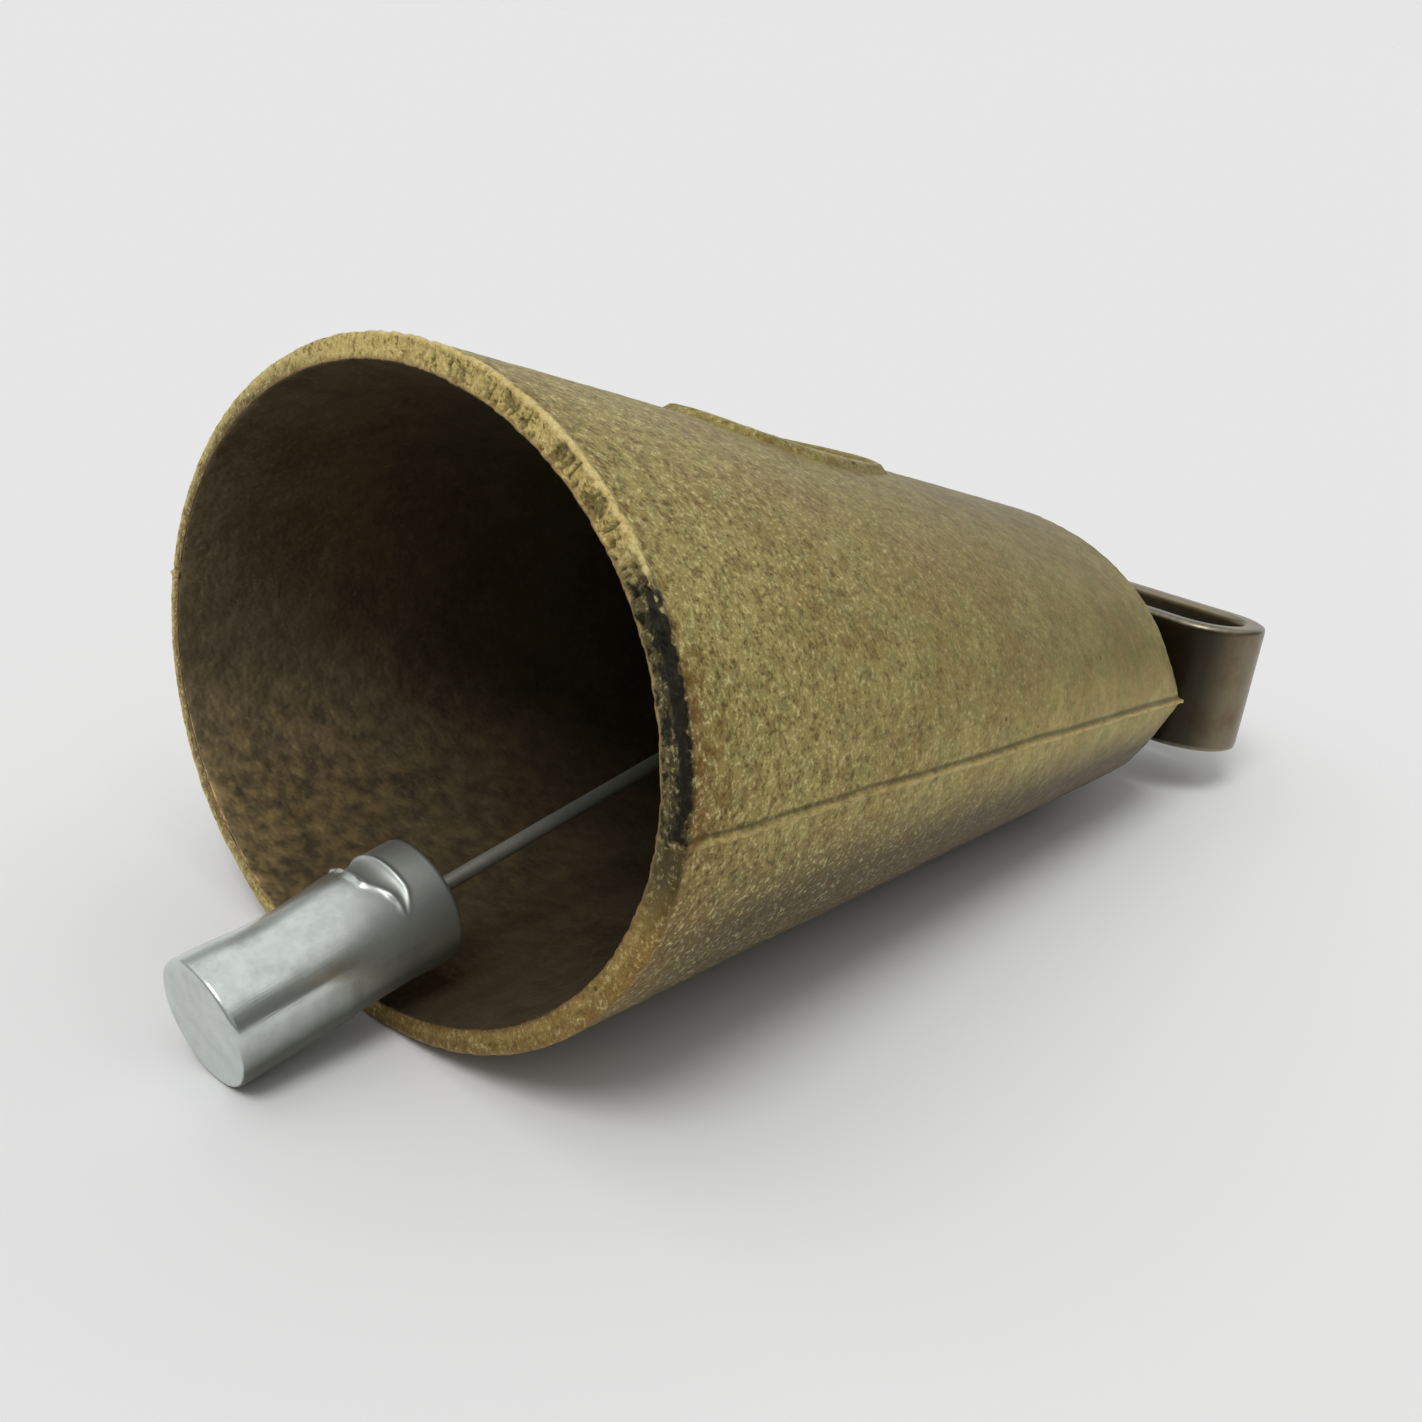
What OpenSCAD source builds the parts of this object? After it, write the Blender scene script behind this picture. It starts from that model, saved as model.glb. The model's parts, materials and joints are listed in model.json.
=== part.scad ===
/* [Bell body] */
// Width of the mouth, from one casting seam to the other
mouth_w = 78; // [70:1:90]
// Depth of the mouth, from one broad face to the other
mouth_d = 60; // [54:1:70]
// Height from the mouth to the two corners of the crown
body_h = 90.5; // [80:0.5:110]
// Width of the crown between its two corners
crown_w = 49.5; // [44:0.5:60]
// Depth of the crown where its shoulders begin
crown_d = 31.5; // [28:0.5:40]
// Thickness of the side walls
wall = 2.2; // [1.8:0.1:3]
// Thickness of the crown
crown_wall = 2.6; // [2:0.1:4]
// Height of the rounded shoulder below the crown corners
shoulder_h = 4.6; // [3:0.1:8]
// Rise of the flat seat in the middle of the crown above the corners
crown_rise = 4.2; // [2:0.1:6]
// Width of the flat seat on the crown, across the broad faces
seat_d = 18; // [16:0.5:20]
// Width of the flat rubbed along the lower broad face, on which the bell lies
rest_flat = 8; // [5:0.5:14]

/* [Casting seam] */
// How far the seam stands out of the side walls
seam_h = 0.6; // [0.3:0.1:1]
// Thickness of the seam
seam_t = 1; // [0.6:0.1:1.6]

/* [Raised oval] */
// Length of the plain raised oval on the upper broad face
oval_l = 28; // [20:1:36]
// Width of the raised oval
oval_w = 17; // [12:1:22]
// Width of the oval's raised rim
oval_rim = 2.2; // [1.5:0.1:4]
// How far the oval's rim stands out of the broad face
oval_h = 0.7; // [0.4:0.1:1.2]
// Height of the oval's centre above the mouth
oval_z = 44; // [35:1:60]

/* [Strap loop] */
// Width of the flat steel strap
strap_w = 15; // [12:0.5:18]
// Thickness of the strap
strap_t = 2.5; // [2:0.1:3]
// Outside width of the loop
loop_w = 49.2; // [46:0.2:60]
// Clear height of the slot for the collar
slot_h = 9.1; // [7:0.1:14]
// Length of each lapped end, past the middle of the loop
lap_l = 9; // [7:0.5:10]
// Hairline gap between the two lapped ends
lap_gap = 0.1; // [0.05:0.05:0.2]

/* [Hanger] */
// Diameter of the hanger's shank and stem
shank_d = 4; // [3:0.1:5]
// Diameter of the round head that is peened over the washer
head_d = 7.6; // [6.5:0.1:9]
// Height of the round head
head_h = 1.6; // [1.2:0.1:2.5]
// Diameter of the washer under the head
washer_d = 10; // [9.5:0.5:13]
// Thickness of the washer
washer_t = 0.8; // [0.6:0.1:1.4]
// Diameter of the collar below the crown
collar_d = 8; // [6.5:0.5:12]
// Thickness of the collar
collar_t = 1.6; // [1:0.1:3]
// Thickness of the wire that forms the hanger's eye
eye_t = 2.8; // [2.4:0.1:3.2]
// Clear diameter of the hanger's eye
eye_bore = 6; // [5.5:0.1:8]
// Height of the clapper's pivot above the mouth
pivot_z = 61; // [55:0.5:66]

/* [Clapper] */
// Diameter of the clapper wire
wire_d = 1.5; // [1.2:0.1:2]
// Clear diameter of the wire's eye
wire_eye_bore = 4.8; // [4.4:0.1:6]
// Outside diameter of the wrap that closes the wire's eye
wrap_d = 2.8; // [2.4:0.1:4]
// Length of the wrap
wrap_l = 4; // [3:0.5:8]
// Diameter of the striking slug
slug_d = 12; // [10:0.5:14]
// Length of the slug
slug_l = 23; // [18:0.5:26]
// Distance from the pivot to the near end of the slug
slug_reach = 59.5; // [56:0.5:62]
// Depth of the wire's hole in the slug
slug_bore_l = 14; // [10:0.5:16]
// Chamfer on the slug's two ends
slug_chamfer = 0.5; // [0.3:0.1:1]
// Distance from the near end of the slug to the lip of the crimp
crimp_at = 3.5; // [2:0.5:8]
// How far the lip's wall leans towards the free end on its way down
crimp_lean = 1.5; // [0:0.1:3]
// Length of the crimp's slope
crimp_l = 11; // [6:0.5:12]
// Depth of the crimp at its lip
crimp_deep = 1.7; // [0.5:0.1:2.2]
// Turn of the crimp round the slug, from its upper side
crimp_turn = 35; // [-90:5:90]
// Sideways direction in which the clapper lies, from the lower broad face
lie_turn = 10; // [0:1:20]

/* [Clearances] */
// Radial clearance of the shank in its holes and of the wire in the slug
fit_gap = 0.05; // [0.02:0.01:0.1]
// End play of the hanger in the crown
end_play = 0.1; // [0.05:0.05:0.3]
// Running gap between the two linked eyes
eye_gap = 0.15; // [0.1:0.05:0.3]
// Gap left between the slug and the rim, and the slug and the ground
rest_gap = 0.1; // [0.05:0.05:0.5]

/* [Hidden] */
$fn = 96;
// How deep two parts of one solid run into each other, and how far a cutter runs past a face
eps = 0.01;
over = 1;

// Half sizes of the tapered body at a height above the mouth
function half_w(z) = (mouth_w + (crown_w - mouth_w) * z / body_h) / 2;
function half_d(z) = (mouth_d + (crown_d - mouth_d) * z / body_h) / 2;

// Shoulder: the exponent of its rounding, and where the seat ends, as a share of the crown
shoulder_power = 1.5;
seat_edge = seat_d / crown_d;
seat_z = body_h + crown_rise;
ceiling_z = seat_z - crown_wall;
sides = 72;
wall_steps = 6;
cap_steps = 9;
ridge = 0.03;

// Share of the depth left at each step over the shoulder, from 1 down to the ridge
function cap_share(k) = ridge + (1 - ridge) * cos(90 * k / cap_steps);
function ease(s) = s * s * (3 - 2 * s);
function within(s) = min(1, max(0, s));

// One point of the cap. The shoulder rises to a ridge on the seam, and the seat lifts its middle
function cap_point(t, k, inset, drop) =
    let (r = cap_share(k),
         q = pow(1 - pow(r, shoulder_power), 1 / shoulder_power),
         z = body_h - shoulder_h * (1 - q),
         reach = norm([cos(t), r * sin(t)]),
         lift = ease(within((1 - reach) / (1 - seat_edge))))
    [(half_w(z) - inset) * cos(t), (half_d(z) - inset) * r * sin(t), z + (seat_z - z) * lift - drop];

function wall_point(t, k, inset, drop) =
    let (z = (body_h - shoulder_h - drop) * k / wall_steps)
    [(half_w(z) - inset) * cos(t), (half_d(z) - inset) * sin(t), z];

// All rings of one skin, from the mouth to the ridge
function skin(inset, drop) = [
    for (k = [0 : wall_steps - 1], i = [0 : sides - 1]) wall_point(360 * i / sides, k, inset, drop),
    for (k = [0 : cap_steps], i = [0 : sides - 1]) cap_point(360 * i / sides, k, inset, drop)];

rings = wall_steps + cap_steps + 1;
function at(skin_no, k, i) = skin_no * rings * sides + k * sides + (i + sides) % sides;

// Two triangles across four corners
function quad(a, b, c, d) = [[a, b, c], [a, c, d]];

module shell() {
    outside = [for (k = [0 : rings - 2], i = [0 : sides - 1])
        each quad(at(0, k, i), at(0, k + 1, i), at(0, k + 1, i + 1), at(0, k, i + 1))];
    inside = [for (k = [0 : rings - 2], i = [0 : sides - 1])
        each quad(at(1, k, i), at(1, k, i + 1), at(1, k + 1, i + 1), at(1, k + 1, i))];
    rim = [for (i = [0 : sides - 1])
        each quad(at(0, 0, i), at(0, 0, i + 1), at(1, 0, i + 1), at(1, 0, i))];
    half = sides / 2;
    roof = [for (i = [1 : half - 2])
        each quad(at(0, rings - 1, i), at(0, rings - 1, -i), at(0, rings - 1, -i - 1), at(0, rings - 1, i + 1))];
    roof_ends = [[at(0, rings - 1, 0), at(0, rings - 1, -1), at(0, rings - 1, 1)],
        [at(0, rings - 1, half), at(0, rings - 1, half - 1), at(0, rings - 1, half + 1)]];
    ceiling = [for (i = [1 : half - 2])
        each quad(at(1, rings - 1, i), at(1, rings - 1, i + 1), at(1, rings - 1, -i - 1), at(1, rings - 1, -i))];
    ceiling_ends = [[at(1, rings - 1, 0), at(1, rings - 1, 1), at(1, rings - 1, -1)],
        [at(1, rings - 1, half), at(1, rings - 1, half + 1), at(1, rings - 1, half - 1)]];
    polyhedron(points = concat(skin(0, 0), skin(wall, crown_wall)),
        faces = concat(outside, inside, rim, roof, roof_ends, ceiling, ceiling_ends), convexity = 6);
}

// The seam is a thin plate in the parting plane that reaches from inside the wall to past its face
module seam(side) {
    root = wall / 2;
    rotate([90, 0, 0])
        linear_extrude(height = seam_t, center = true)
            polygon([[side * (half_w(0) - root), 0], [side * (half_w(0) + seam_h), 0],
                [side * (half_w(body_h) + seam_h), body_h], [side * (half_w(body_h) - root), body_h - crown_wall / 2]]);
}

// A point on the upper broad face, lifted out of it
function face_point(x, z, lift) = [x, -half_d(z) * sqrt(1 - pow(x / half_w(z), 2)) - lift, z];

// The oval's rim: a closed band of four edges that follows the curve of the broad face
oval_steps = 60;
oval_root = wall / 2;
oval_slope = 0.4;
function oval_point(t, width, length, lift) =
    face_point(width / 2 * cos(t), oval_z + length / 2 * sin(t), lift);
module raised_oval() {
    w2 = oval_w - 2 * oval_rim;
    l2 = oval_l - 2 * oval_rim;
    points = [for (i = [0 : oval_steps - 1]) each let (t = 360 * i / oval_steps) [
        oval_point(t, oval_w, oval_l, -oval_root),
        oval_point(t, oval_w - 2 * oval_slope, oval_l - 2 * oval_slope, oval_h),
        oval_point(t, w2 + 2 * oval_slope, l2 + 2 * oval_slope, oval_h),
        oval_point(t, w2, l2, -oval_root)]];
    faces = [for (i = [0 : oval_steps - 1], j = [0 : 3])
        let (n = (i + 1) % oval_steps, m = (j + 1) % 4)
        each quad(4 * i + j, 4 * i + m, 4 * n + m, 4 * n + j)];
    polyhedron(points = points, faces = faces, convexity = 4);
}

module bell_body() {
    color([0.56, 0.49, 0.29])
        difference() {
            lay_down()
                difference() {
                    union() {
                        shell();
                        seam(1);
                        seam(-1);
                        raised_oval();
                    }
                    translate([0, 0, ceiling_z - over])
                        cylinder(r = shank_d / 2 + fit_gap, h = crown_wall + 2 * over);
                }
            translate([-loop_z, -mouth_w / 2, -over])
                cube([2 * loop_z, mouth_w, over]);
        }
}

// Strap loop: the lower end lies on the crown's seat, the upper end laps over it
lap_z = seat_z + strap_t + lap_gap;
slot_z = lap_z + strap_t;
loop_z = slot_z + slot_h + strap_t;
near_r = (loop_z - lap_z) / 2;
far_r = (loop_z - seat_z) / 2;

module bend(radius, x, side) {
    translate([x, loop_z - radius])
        intersection() {
            difference() {
                circle(r = radius);
                circle(r = radius - strap_t);
            }
            translate([side > 0 ? 0 : -radius, -radius])
                square([radius, 2 * radius]);
        }
}

module loop_profile() {
    near_x = loop_w / 2 - near_r;
    far_x = far_r - loop_w / 2;
    bend(near_r, near_x, 1);
    bend(far_r, far_x, -1);
    translate([far_x - eps, loop_z - strap_t])
        square([near_x - far_x + 2 * eps, strap_t]);
    translate([-lap_l, lap_z])
        square([near_x + lap_l + eps, strap_t]);
    translate([far_x - eps, seat_z])
        square([lap_l - far_x + eps, strap_t]);
}

module strap_loop() {
    color([0.30, 0.28, 0.25])
        lay_down()
            difference() {
                rotate([90, 0, 0])
                    linear_extrude(height = strap_w, center = true)
                        loop_profile();
                translate([0, 0, seat_z - over])
                    cylinder(r = shank_d / 2 + fit_gap, h = slot_z - seat_z + 2 * over);
            }
}

module rivet_washer() {
    color([0.42, 0.41, 0.40])
        lay_down()
            translate([0, 0, slot_z])
                difference() {
                    cylinder(d = washer_d, h = washer_t);
                    translate([0, 0, -over])
                        cylinder(r = shank_d / 2 + fit_gap, h = washer_t + 2 * over);
                }
}

// A round head whose dome is part of a ball
module round_head(diameter, height) {
    ball_r = (pow(diameter / 2, 2) + pow(height, 2)) / (2 * height);
    rotate_extrude()
        intersection() {
            translate([0, height - ball_r])
                circle(r = ball_r);
            square([diameter / 2, height]);
        }
}

// A ring of round wire in the plane of X and Z
module wire_ring(bore, thickness) {
    rotate([90, 0, 0])
        rotate_extrude()
            translate([(bore + thickness) / 2, 0])
                circle(d = thickness);
}

eye_r = (eye_bore + eye_t) / 2;
head_z = slot_z + washer_t + end_play;

module hanger_eye() {
    stem_z = pivot_z + eye_r + eye_bore / 2 + eye_t / 4;
    color([0.40, 0.39, 0.37])
        lay_down()
            turned()
                union() {
                    translate([0, 0, head_z])
                        round_head(head_d, head_h);
                    translate([0, 0, stem_z])
                        cylinder(d = shank_d, h = head_z + eps - stem_z);
                    translate([0, 0, ceiling_z - end_play - collar_t])
                        cylinder(d = collar_d, h = collar_t);
                    translate([0, 0, pivot_z + eye_r])
                        wire_ring(eye_bore, eye_t);
                }
}

// Distance from the bell's axis to the ground at the mouth, to the flat of the lower broad face
ground_d = mouth_d / 2 * sqrt(1 - pow(rest_flat / mouth_w, 2));

// The clapper lies against the lower rim, or on the ground if it meets that first
pitch = atan((mouth_d - crown_d) / 2 / body_h);
rim_reach = mouth_d / 2 - wall;
rim_angle = atan(rim_reach / pivot_z) - asin((slug_d / 2 + rest_gap) / norm([rim_reach, pivot_z]));
slug_end = slug_reach + slug_l;
side_share = cos(lie_turn);
ground_m = tan(pitch) * slug_end - side_share * slug_d / 2;
ground_n = tan(pitch) * slug_d / 2 + side_share * slug_end;
ground_k = rest_gap / cos(pitch) - ground_d + tan(pitch) * pivot_z;
ground_angle = acos(ground_k / norm([ground_m, ground_n])) - atan2(ground_n, ground_m);
lie_angle = min(rim_angle, ground_angle);

// Turns a piece from the bell's depth direction to where the clapper lies
module turned() {
    rotate([0, 0, -lie_turn])
        children();
}

// Hangs a piece from the pivot, with the clapper's axis along -Z before it swings out
module hung() {
    turned()
        translate([0, 0, pivot_z])
            rotate([lie_angle, 0, 0])
                children();
}

wire_eye_r = (wire_eye_bore + wire_d) / 2;
wire_eye_z = eye_t / 2 + eye_gap + wire_d / 2 - wire_eye_r;

module clapper_wire() {
    wire_end = slug_reach + slug_bore_l - end_play;
    wrap_top = wire_eye_z - wire_eye_r;
    color([0.62, 0.62, 0.61])
        lay_down()
            hung()
                union() {
                    translate([0, 0, wire_eye_z])
                        rotate([0, 0, 90])
                            wire_ring(wire_eye_bore, wire_d);
                    translate([0, 0, wrap_top - wrap_l])
                        cylinder(d = wrap_d, h = wrap_l);
                    translate([0, 0, -wire_end])
                        cylinder(d = wire_d, h = wire_end + wrap_top - wrap_l / 2);
                }
}

module clapper_slug() {
    r = slug_d / 2;
    hole_r = wire_d / 2 + fit_gap;
    color([0.70, 0.72, 0.73])
        lay_down()
            hung()
                translate([0, 0, -slug_end])
                    difference() {
                        rotate_extrude()
                            polygon([[0, 0], [r - slug_chamfer, 0], [r, slug_chamfer],
                                [r, slug_l - slug_chamfer], [r - slug_chamfer, slug_l], [0, slug_l]]);
                        translate([0, 0, slug_l - slug_bore_l])
                            cylinder(r = hole_r, h = slug_bore_l + over);
                        rotate([0, 0, crimp_turn])
                            translate([-slug_d, 0, 0])
                                rotate([90, 0, 90])
                                    linear_extrude(height = 2 * slug_d)
                                        crimp_profile();
                    }
}

// Side view of the crimp: a steep lip on the wire's side and a long slope to the free end
module crimp_profile() {
    lip = slug_l - crimp_at;
    top = -slug_d / 2;
    lean = crimp_lean / crimp_deep;
    polygon([[top - over, lip + lean * over], [top + crimp_deep, lip - crimp_lean],
        [top, lip - crimp_l], [top - over, lip - crimp_l]]);
}

// The bell lies on its lower broad face: its mouth looks along -X and its seams along Y
axis_z = ground_d * cos(pitch);
function lies_x(y, z) = z * cos(pitch) - y * sin(pitch);
tip_y = side_share * slug_end * sin(lie_angle);
tip_z = pivot_z - slug_end * cos(lie_angle);
tip_lean = (sin(lie_angle) * side_share * sin(pitch) + cos(lie_angle) * cos(pitch));
face_r = slug_d / 2 - slug_chamfer;
edge_x = lies_x(tip_y, tip_z) + slug_chamfer * tip_lean - slug_d / 2 * sqrt(1 - pow(tip_lean, 2));
face_x = lies_x(tip_y, tip_z) - face_r * sqrt(1 - pow(tip_lean, 2));
low_x = min(edge_x, face_x);
high_x = lies_x(-strap_w / 2, loop_z);

module lay_down() {
    translate([-(low_x + high_x) / 2, 0, axis_z])
        rotate([0, pitch, 0])
            rotate([-90, 0, -90])
                children();
}

bell_body();
strap_loop();
rivet_washer();
hanger_eye();
clapper_wire();
clapper_slug();
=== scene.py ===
"""A cast brass sheep bell with its strap loop, hanger and clapper, dressed around its CAD frame.

Sizes are real ones in millimetres, and MM turns them to metres. Each sub-assembly is a class that
builds its meshes in the bell's or the clapper's own axes and lays them in the row frame. Each
finish is a frozen dataclass that builds its material.
"""
import json
import logging
import math
from collections.abc import Callable, Iterable, Mapping, Sequence
from dataclasses import dataclass
from enum import Enum
from functools import partial

import bpy
import numpy as np
from mathutils import Matrix, Vector


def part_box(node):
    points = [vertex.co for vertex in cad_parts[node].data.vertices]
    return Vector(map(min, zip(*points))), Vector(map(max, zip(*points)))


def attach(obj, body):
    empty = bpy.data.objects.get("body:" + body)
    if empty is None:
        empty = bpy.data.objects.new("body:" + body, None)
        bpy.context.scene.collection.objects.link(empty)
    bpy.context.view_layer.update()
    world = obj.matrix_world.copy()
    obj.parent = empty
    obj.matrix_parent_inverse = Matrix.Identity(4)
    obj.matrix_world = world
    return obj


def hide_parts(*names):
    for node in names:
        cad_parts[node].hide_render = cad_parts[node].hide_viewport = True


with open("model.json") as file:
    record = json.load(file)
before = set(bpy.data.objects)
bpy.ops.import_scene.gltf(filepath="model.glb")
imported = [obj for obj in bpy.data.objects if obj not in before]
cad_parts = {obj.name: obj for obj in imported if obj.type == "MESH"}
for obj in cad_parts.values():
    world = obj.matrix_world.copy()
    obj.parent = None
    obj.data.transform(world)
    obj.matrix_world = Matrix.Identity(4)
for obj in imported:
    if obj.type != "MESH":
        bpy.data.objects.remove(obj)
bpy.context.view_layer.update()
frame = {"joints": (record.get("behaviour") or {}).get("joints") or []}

MM = 0.001
SMOOTH = {"interpolation_type": "SMOOTHSTEP"}
BORE_SIDES = 48

Socket = bpy.types.NodeSocket
Tree = bpy.types.NodeTree
Inputs = Mapping[str, Socket]
Draw = Callable[[Tree, Inputs], Socket]
Span = tuple[float, float, float, float]

log = logging.getLogger("sheep_bell")


class Body(Enum):
    """The bodies of the CAD frame that a piece can ride on."""

    BELL = "bell"
    HANGER = "hanger"
    CLAPPER = "clapper"


class Slot(Enum):
    """The record's material slots."""

    CAST_BRASS = "cast_brass"
    STRAP_STEEL = "strap_steel"
    FIXING_STEEL = "fixing_steel"
    WIRE_STEEL = "wire_steel"
    SLUG_ZINC = "slug_zinc"


def linear(colour: str) -> tuple[float, float, float, float]:
    """Turns an sRGB hex colour to linear light.

    Args:
        colour: the colour as "#rrggbb".

    Returns:
        Red, green, blue and an alpha of 1.
    """
    shares = [int(colour[i:i + 2], 16) / 255 for i in (1, 3, 5)]
    red, green, blue = [s / 12.92 if s <= 0.04045 else ((s + 0.055) / 1.055) ** 2.4 for s in shares]
    return red, green, blue, 1.0


def ramp(value: np.ndarray, *stops: tuple[float, float]) -> np.ndarray:
    """Runs straight from stop to stop and stays level beyond them.

    Args:
        value: where each point lies.
        stops: pairs of a place and the share there, from the lowest place up.

    Returns:
        The share at each point.
    """
    return np.interp(value, *zip(*stops))


def within(value: np.ndarray, span: Span) -> np.ndarray:
    """A share that rises from a span's first number to its second and falls from its third to its last."""
    return np.interp(value, span, (0, 1, 1, 0))


def metres(sizes: Mapping[str, float]) -> dict[str, float]:
    """The same sizes in metres, from millimetres."""
    return {name: size * MM for name, size in sizes.items()}


def fill(node: bpy.types.Node, inputs: Mapping) -> None:
    """Gives a node's inputs what goes into them.

    Args:
        node: the node.
        inputs: a value or another node's output for each input, by name or number.
    """
    for key, value in inputs.items():
        if isinstance(value, Socket):
            node.id_data.links.new(value, node.inputs[key])
        else:
            node.inputs[key].default_value = value


def add_node(tree: Tree, kind: str, inputs: Mapping | None = None, out: int | str = 0,
             **settings: object) -> Socket | None:
    """Adds one node to a tree, with its settings and what goes into it.

    Args:
        tree: the tree that gets the node.
        kind: the node's type.
        inputs: a value or another node's output for each input, by name or number.
        out: the output that the caller goes on with, by name or number.
        settings: the node's properties by name.

    Returns:
        That output, or None from a node that has none.
    """
    made = tree.nodes.new(kind)
    for key, value in settings.items():
        setattr(made, key, value)
    fill(made, inputs or {})
    return made.outputs[out] if made.outputs else None


def lay_colours(tree: Tree, colour: Socket | tuple[float, ...],
                layers: Iterable[tuple[Socket, float, str | Socket]]) -> Socket:
    """Lays colours over one another, each through its own mask.

    Args:
        tree: the tree that gets the nodes.
        colour: the lowest colour.
        layers: for each layer its mask, how much of the mask counts, and its colour as sRGB hex or
            another node's output.

    Returns:
        The output that holds the colour on top.
    """
    for mask, share, above in layers:
        part = add_node(tree, "ShaderNodeMath", {0: mask, 1: share}, operation="MULTIPLY")
        above = linear(above) if isinstance(above, str) else above
        colour = add_node(tree, "ShaderNodeMix", {0: part, 6: colour, 7: above}, 2, data_type="RGBA")
    return colour


def new_finish(name: str) -> tuple[bpy.types.Material, Tree, bpy.types.Node]:
    """Starts a material.

    Args:
        name: the material's name.

    Returns:
        The material, its tree and its shader.
    """
    material = bpy.data.materials.new(name)
    material.use_nodes = True
    return material, material.node_tree, material.node_tree.nodes["Principled BSDF"]


def mesh_object(name: str, points: np.ndarray, faces: Sequence[Sequence[int]] = (),
                edges: Sequence[Sequence[int]] = ()) -> bpy.types.Object:
    """Makes an object from points in millimetres.

    Args:
        name: the object's name.
        points: one row of three numbers for each vertex.
        faces: vertex numbers of each face.
        edges: vertex numbers of each loose edge.

    Returns:
        The linked object, at the origin.
    """
    mesh = bpy.data.meshes.new(name)
    mesh.from_pydata((points * MM).tolist(), [list(e) for e in edges], [list(f) for f in faces])
    mesh.update()
    made = bpy.data.objects.new(name, mesh)
    bpy.context.scene.collection.objects.link(made)
    return made


def line_object(name: str, points: np.ndarray) -> bpy.types.Object:
    """Makes an object of one open line through points in millimetres."""
    return mesh_object(name, points, edges=[(i, i + 1) for i in range(len(points) - 1)])


def add_attributes(mesh: bpy.types.Mesh, values: Mapping[str, np.ndarray]) -> None:
    """Stores numbers for each vertex.

    Args:
        mesh: the mesh that gets them.
        values: one number for each vertex, by the attribute's name.
    """
    for name, numbers in values.items():
        data = mesh.attributes.new(name, "FLOAT", "POINT").data
        data.foreach_set("value", numbers.astype(np.float32).ravel())


def geometry_tree(name: str, sizes: Iterable[str], draw: Draw) -> Tree:
    """Makes a geometry tree that ends with smooth faces, real instances and the material.

    Args:
        name: the tree's name.
        sizes: the names of its sizes, which are inputs beside its geometry and its material.
        draw: adds the tree's own nodes, from the tree and its inputs, and returns the shape.

    Returns:
        The tree.
    """
    tree = bpy.data.node_groups.new(name, "GeometryNodeTree")
    tree.is_modifier = True
    for given, kind in (("Geometry", "Geometry"), ("Material", "Material"), *((s, "Float") for s in sizes)):
        tree.interface.new_socket(given, in_out="INPUT", socket_type="NodeSocket" + kind)
    tree.interface.new_socket("Geometry", in_out="OUTPUT", socket_type="NodeSocketGeometry")
    size = add_node(tree, "NodeGroupInput").node.outputs
    smooth = add_node(tree, "GeometryNodeSetShadeSmooth", {0: draw(tree, size)})
    real = add_node(tree, "GeometryNodeRealizeInstances", {0: smooth})
    dressed = add_node(tree, "GeometryNodeSetMaterial", {0: real, "Material": size["Material"]})
    add_node(tree, "NodeGroupOutput", {0: dressed})
    return tree


def drill(tree: Tree, geometry: Socket, size: Inputs) -> Socket:
    """Drills the rivet's bore along the bell's axis.

    Args:
        tree: the tree that gets the nodes.
        geometry: the solid to drill.
        size: the tree's inputs, with Bore, Bore Height and Bore Length among them.

    Returns:
        The drilled solid.
    """
    bit = add_node(tree, "GeometryNodeMeshCylinder", {
        "Vertices": BORE_SIDES, "Radius": size["Bore"], "Depth": size["Bore Length"]})
    up = add_node(tree, "ShaderNodeCombineXYZ", {"Z": size["Bore Height"]})
    bit = add_node(tree, "GeometryNodeTransform", {0: bit, "Translation": up})
    return add_node(tree, "GeometryNodeMeshBoolean", {"Mesh 1": geometry, "Mesh 2": bit},
                    operation="DIFFERENCE", solver="EXACT")


def hammer(tree: Tree, geometry: Socket, size: Inputs, detail: float) -> Socket:
    """Gives a surface the shallow dents of a hammer.

    Args:
        tree: the tree that gets the nodes.
        geometry: the surface.
        size: the tree's inputs, with Dent Height and Dent Size among them.
        detail: how many finer dents lie in each.

    Returns:
        The dented surface.
    """
    node = partial(add_node, tree)
    scale = node("ShaderNodeMath", {0: 1.0, 1: size["Dent Size"]}, operation="DIVIDE")
    place = node("GeometryNodeInputPosition")
    dent = node("ShaderNodeTexNoise", {"Vector": place, "Scale": scale, "Detail": detail})
    dent = node("ShaderNodeMath", {0: dent, 1: 0.5}, operation="SUBTRACT")
    dent = node("ShaderNodeMath", {0: dent, 1: size["Dent Height"]}, operation="MULTIPLY")
    normal = node("GeometryNodeInputNormal")
    move = node("ShaderNodeVectorMath", {0: normal, "Scale": dent}, operation="SCALE")
    return node("GeometryNodeSetPosition", {0: geometry, "Offset": move})


def grow(base: bpy.types.Object, name: str, draw: Draw,
         material: bpy.types.Material, sizes: Mapping[str, float], place: Matrix) -> bpy.types.Object:
    """Runs a geometry tree over an object, keeps the result as a plain mesh and lays it in place.

    Args:
        base: the object that the tree starts from. Its mesh is replaced.
        name: the tree's name.
        draw: adds the tree's own nodes.
        material: the material for the tree's Material input.
        sizes: a value for each of the tree's named sizes, in metres where it is a length.
        place: the matrix from the piece's own axes to the row frame.

    Returns:
        The same object with its final mesh.
    """
    tree = geometry_tree(name, sizes, draw)
    modifier = base.modifiers.new(name, "NODES")
    modifier.node_group = tree
    sockets = {s.name: s.identifier for s in tree.interface.items_tree if s.in_out == "INPUT"}
    modifier[sockets["Material"]] = material
    for size, value in sizes.items():
        modifier[sockets[size]] = float(value)
    bpy.context.view_layer.update()
    depsgraph = bpy.context.evaluated_depsgraph_get()
    final = bpy.data.meshes.new_from_object(base.evaluated_get(depsgraph), depsgraph=depsgraph)
    base.modifiers.remove(modifier)
    final.transform(place)
    base.data = final
    return base


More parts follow.
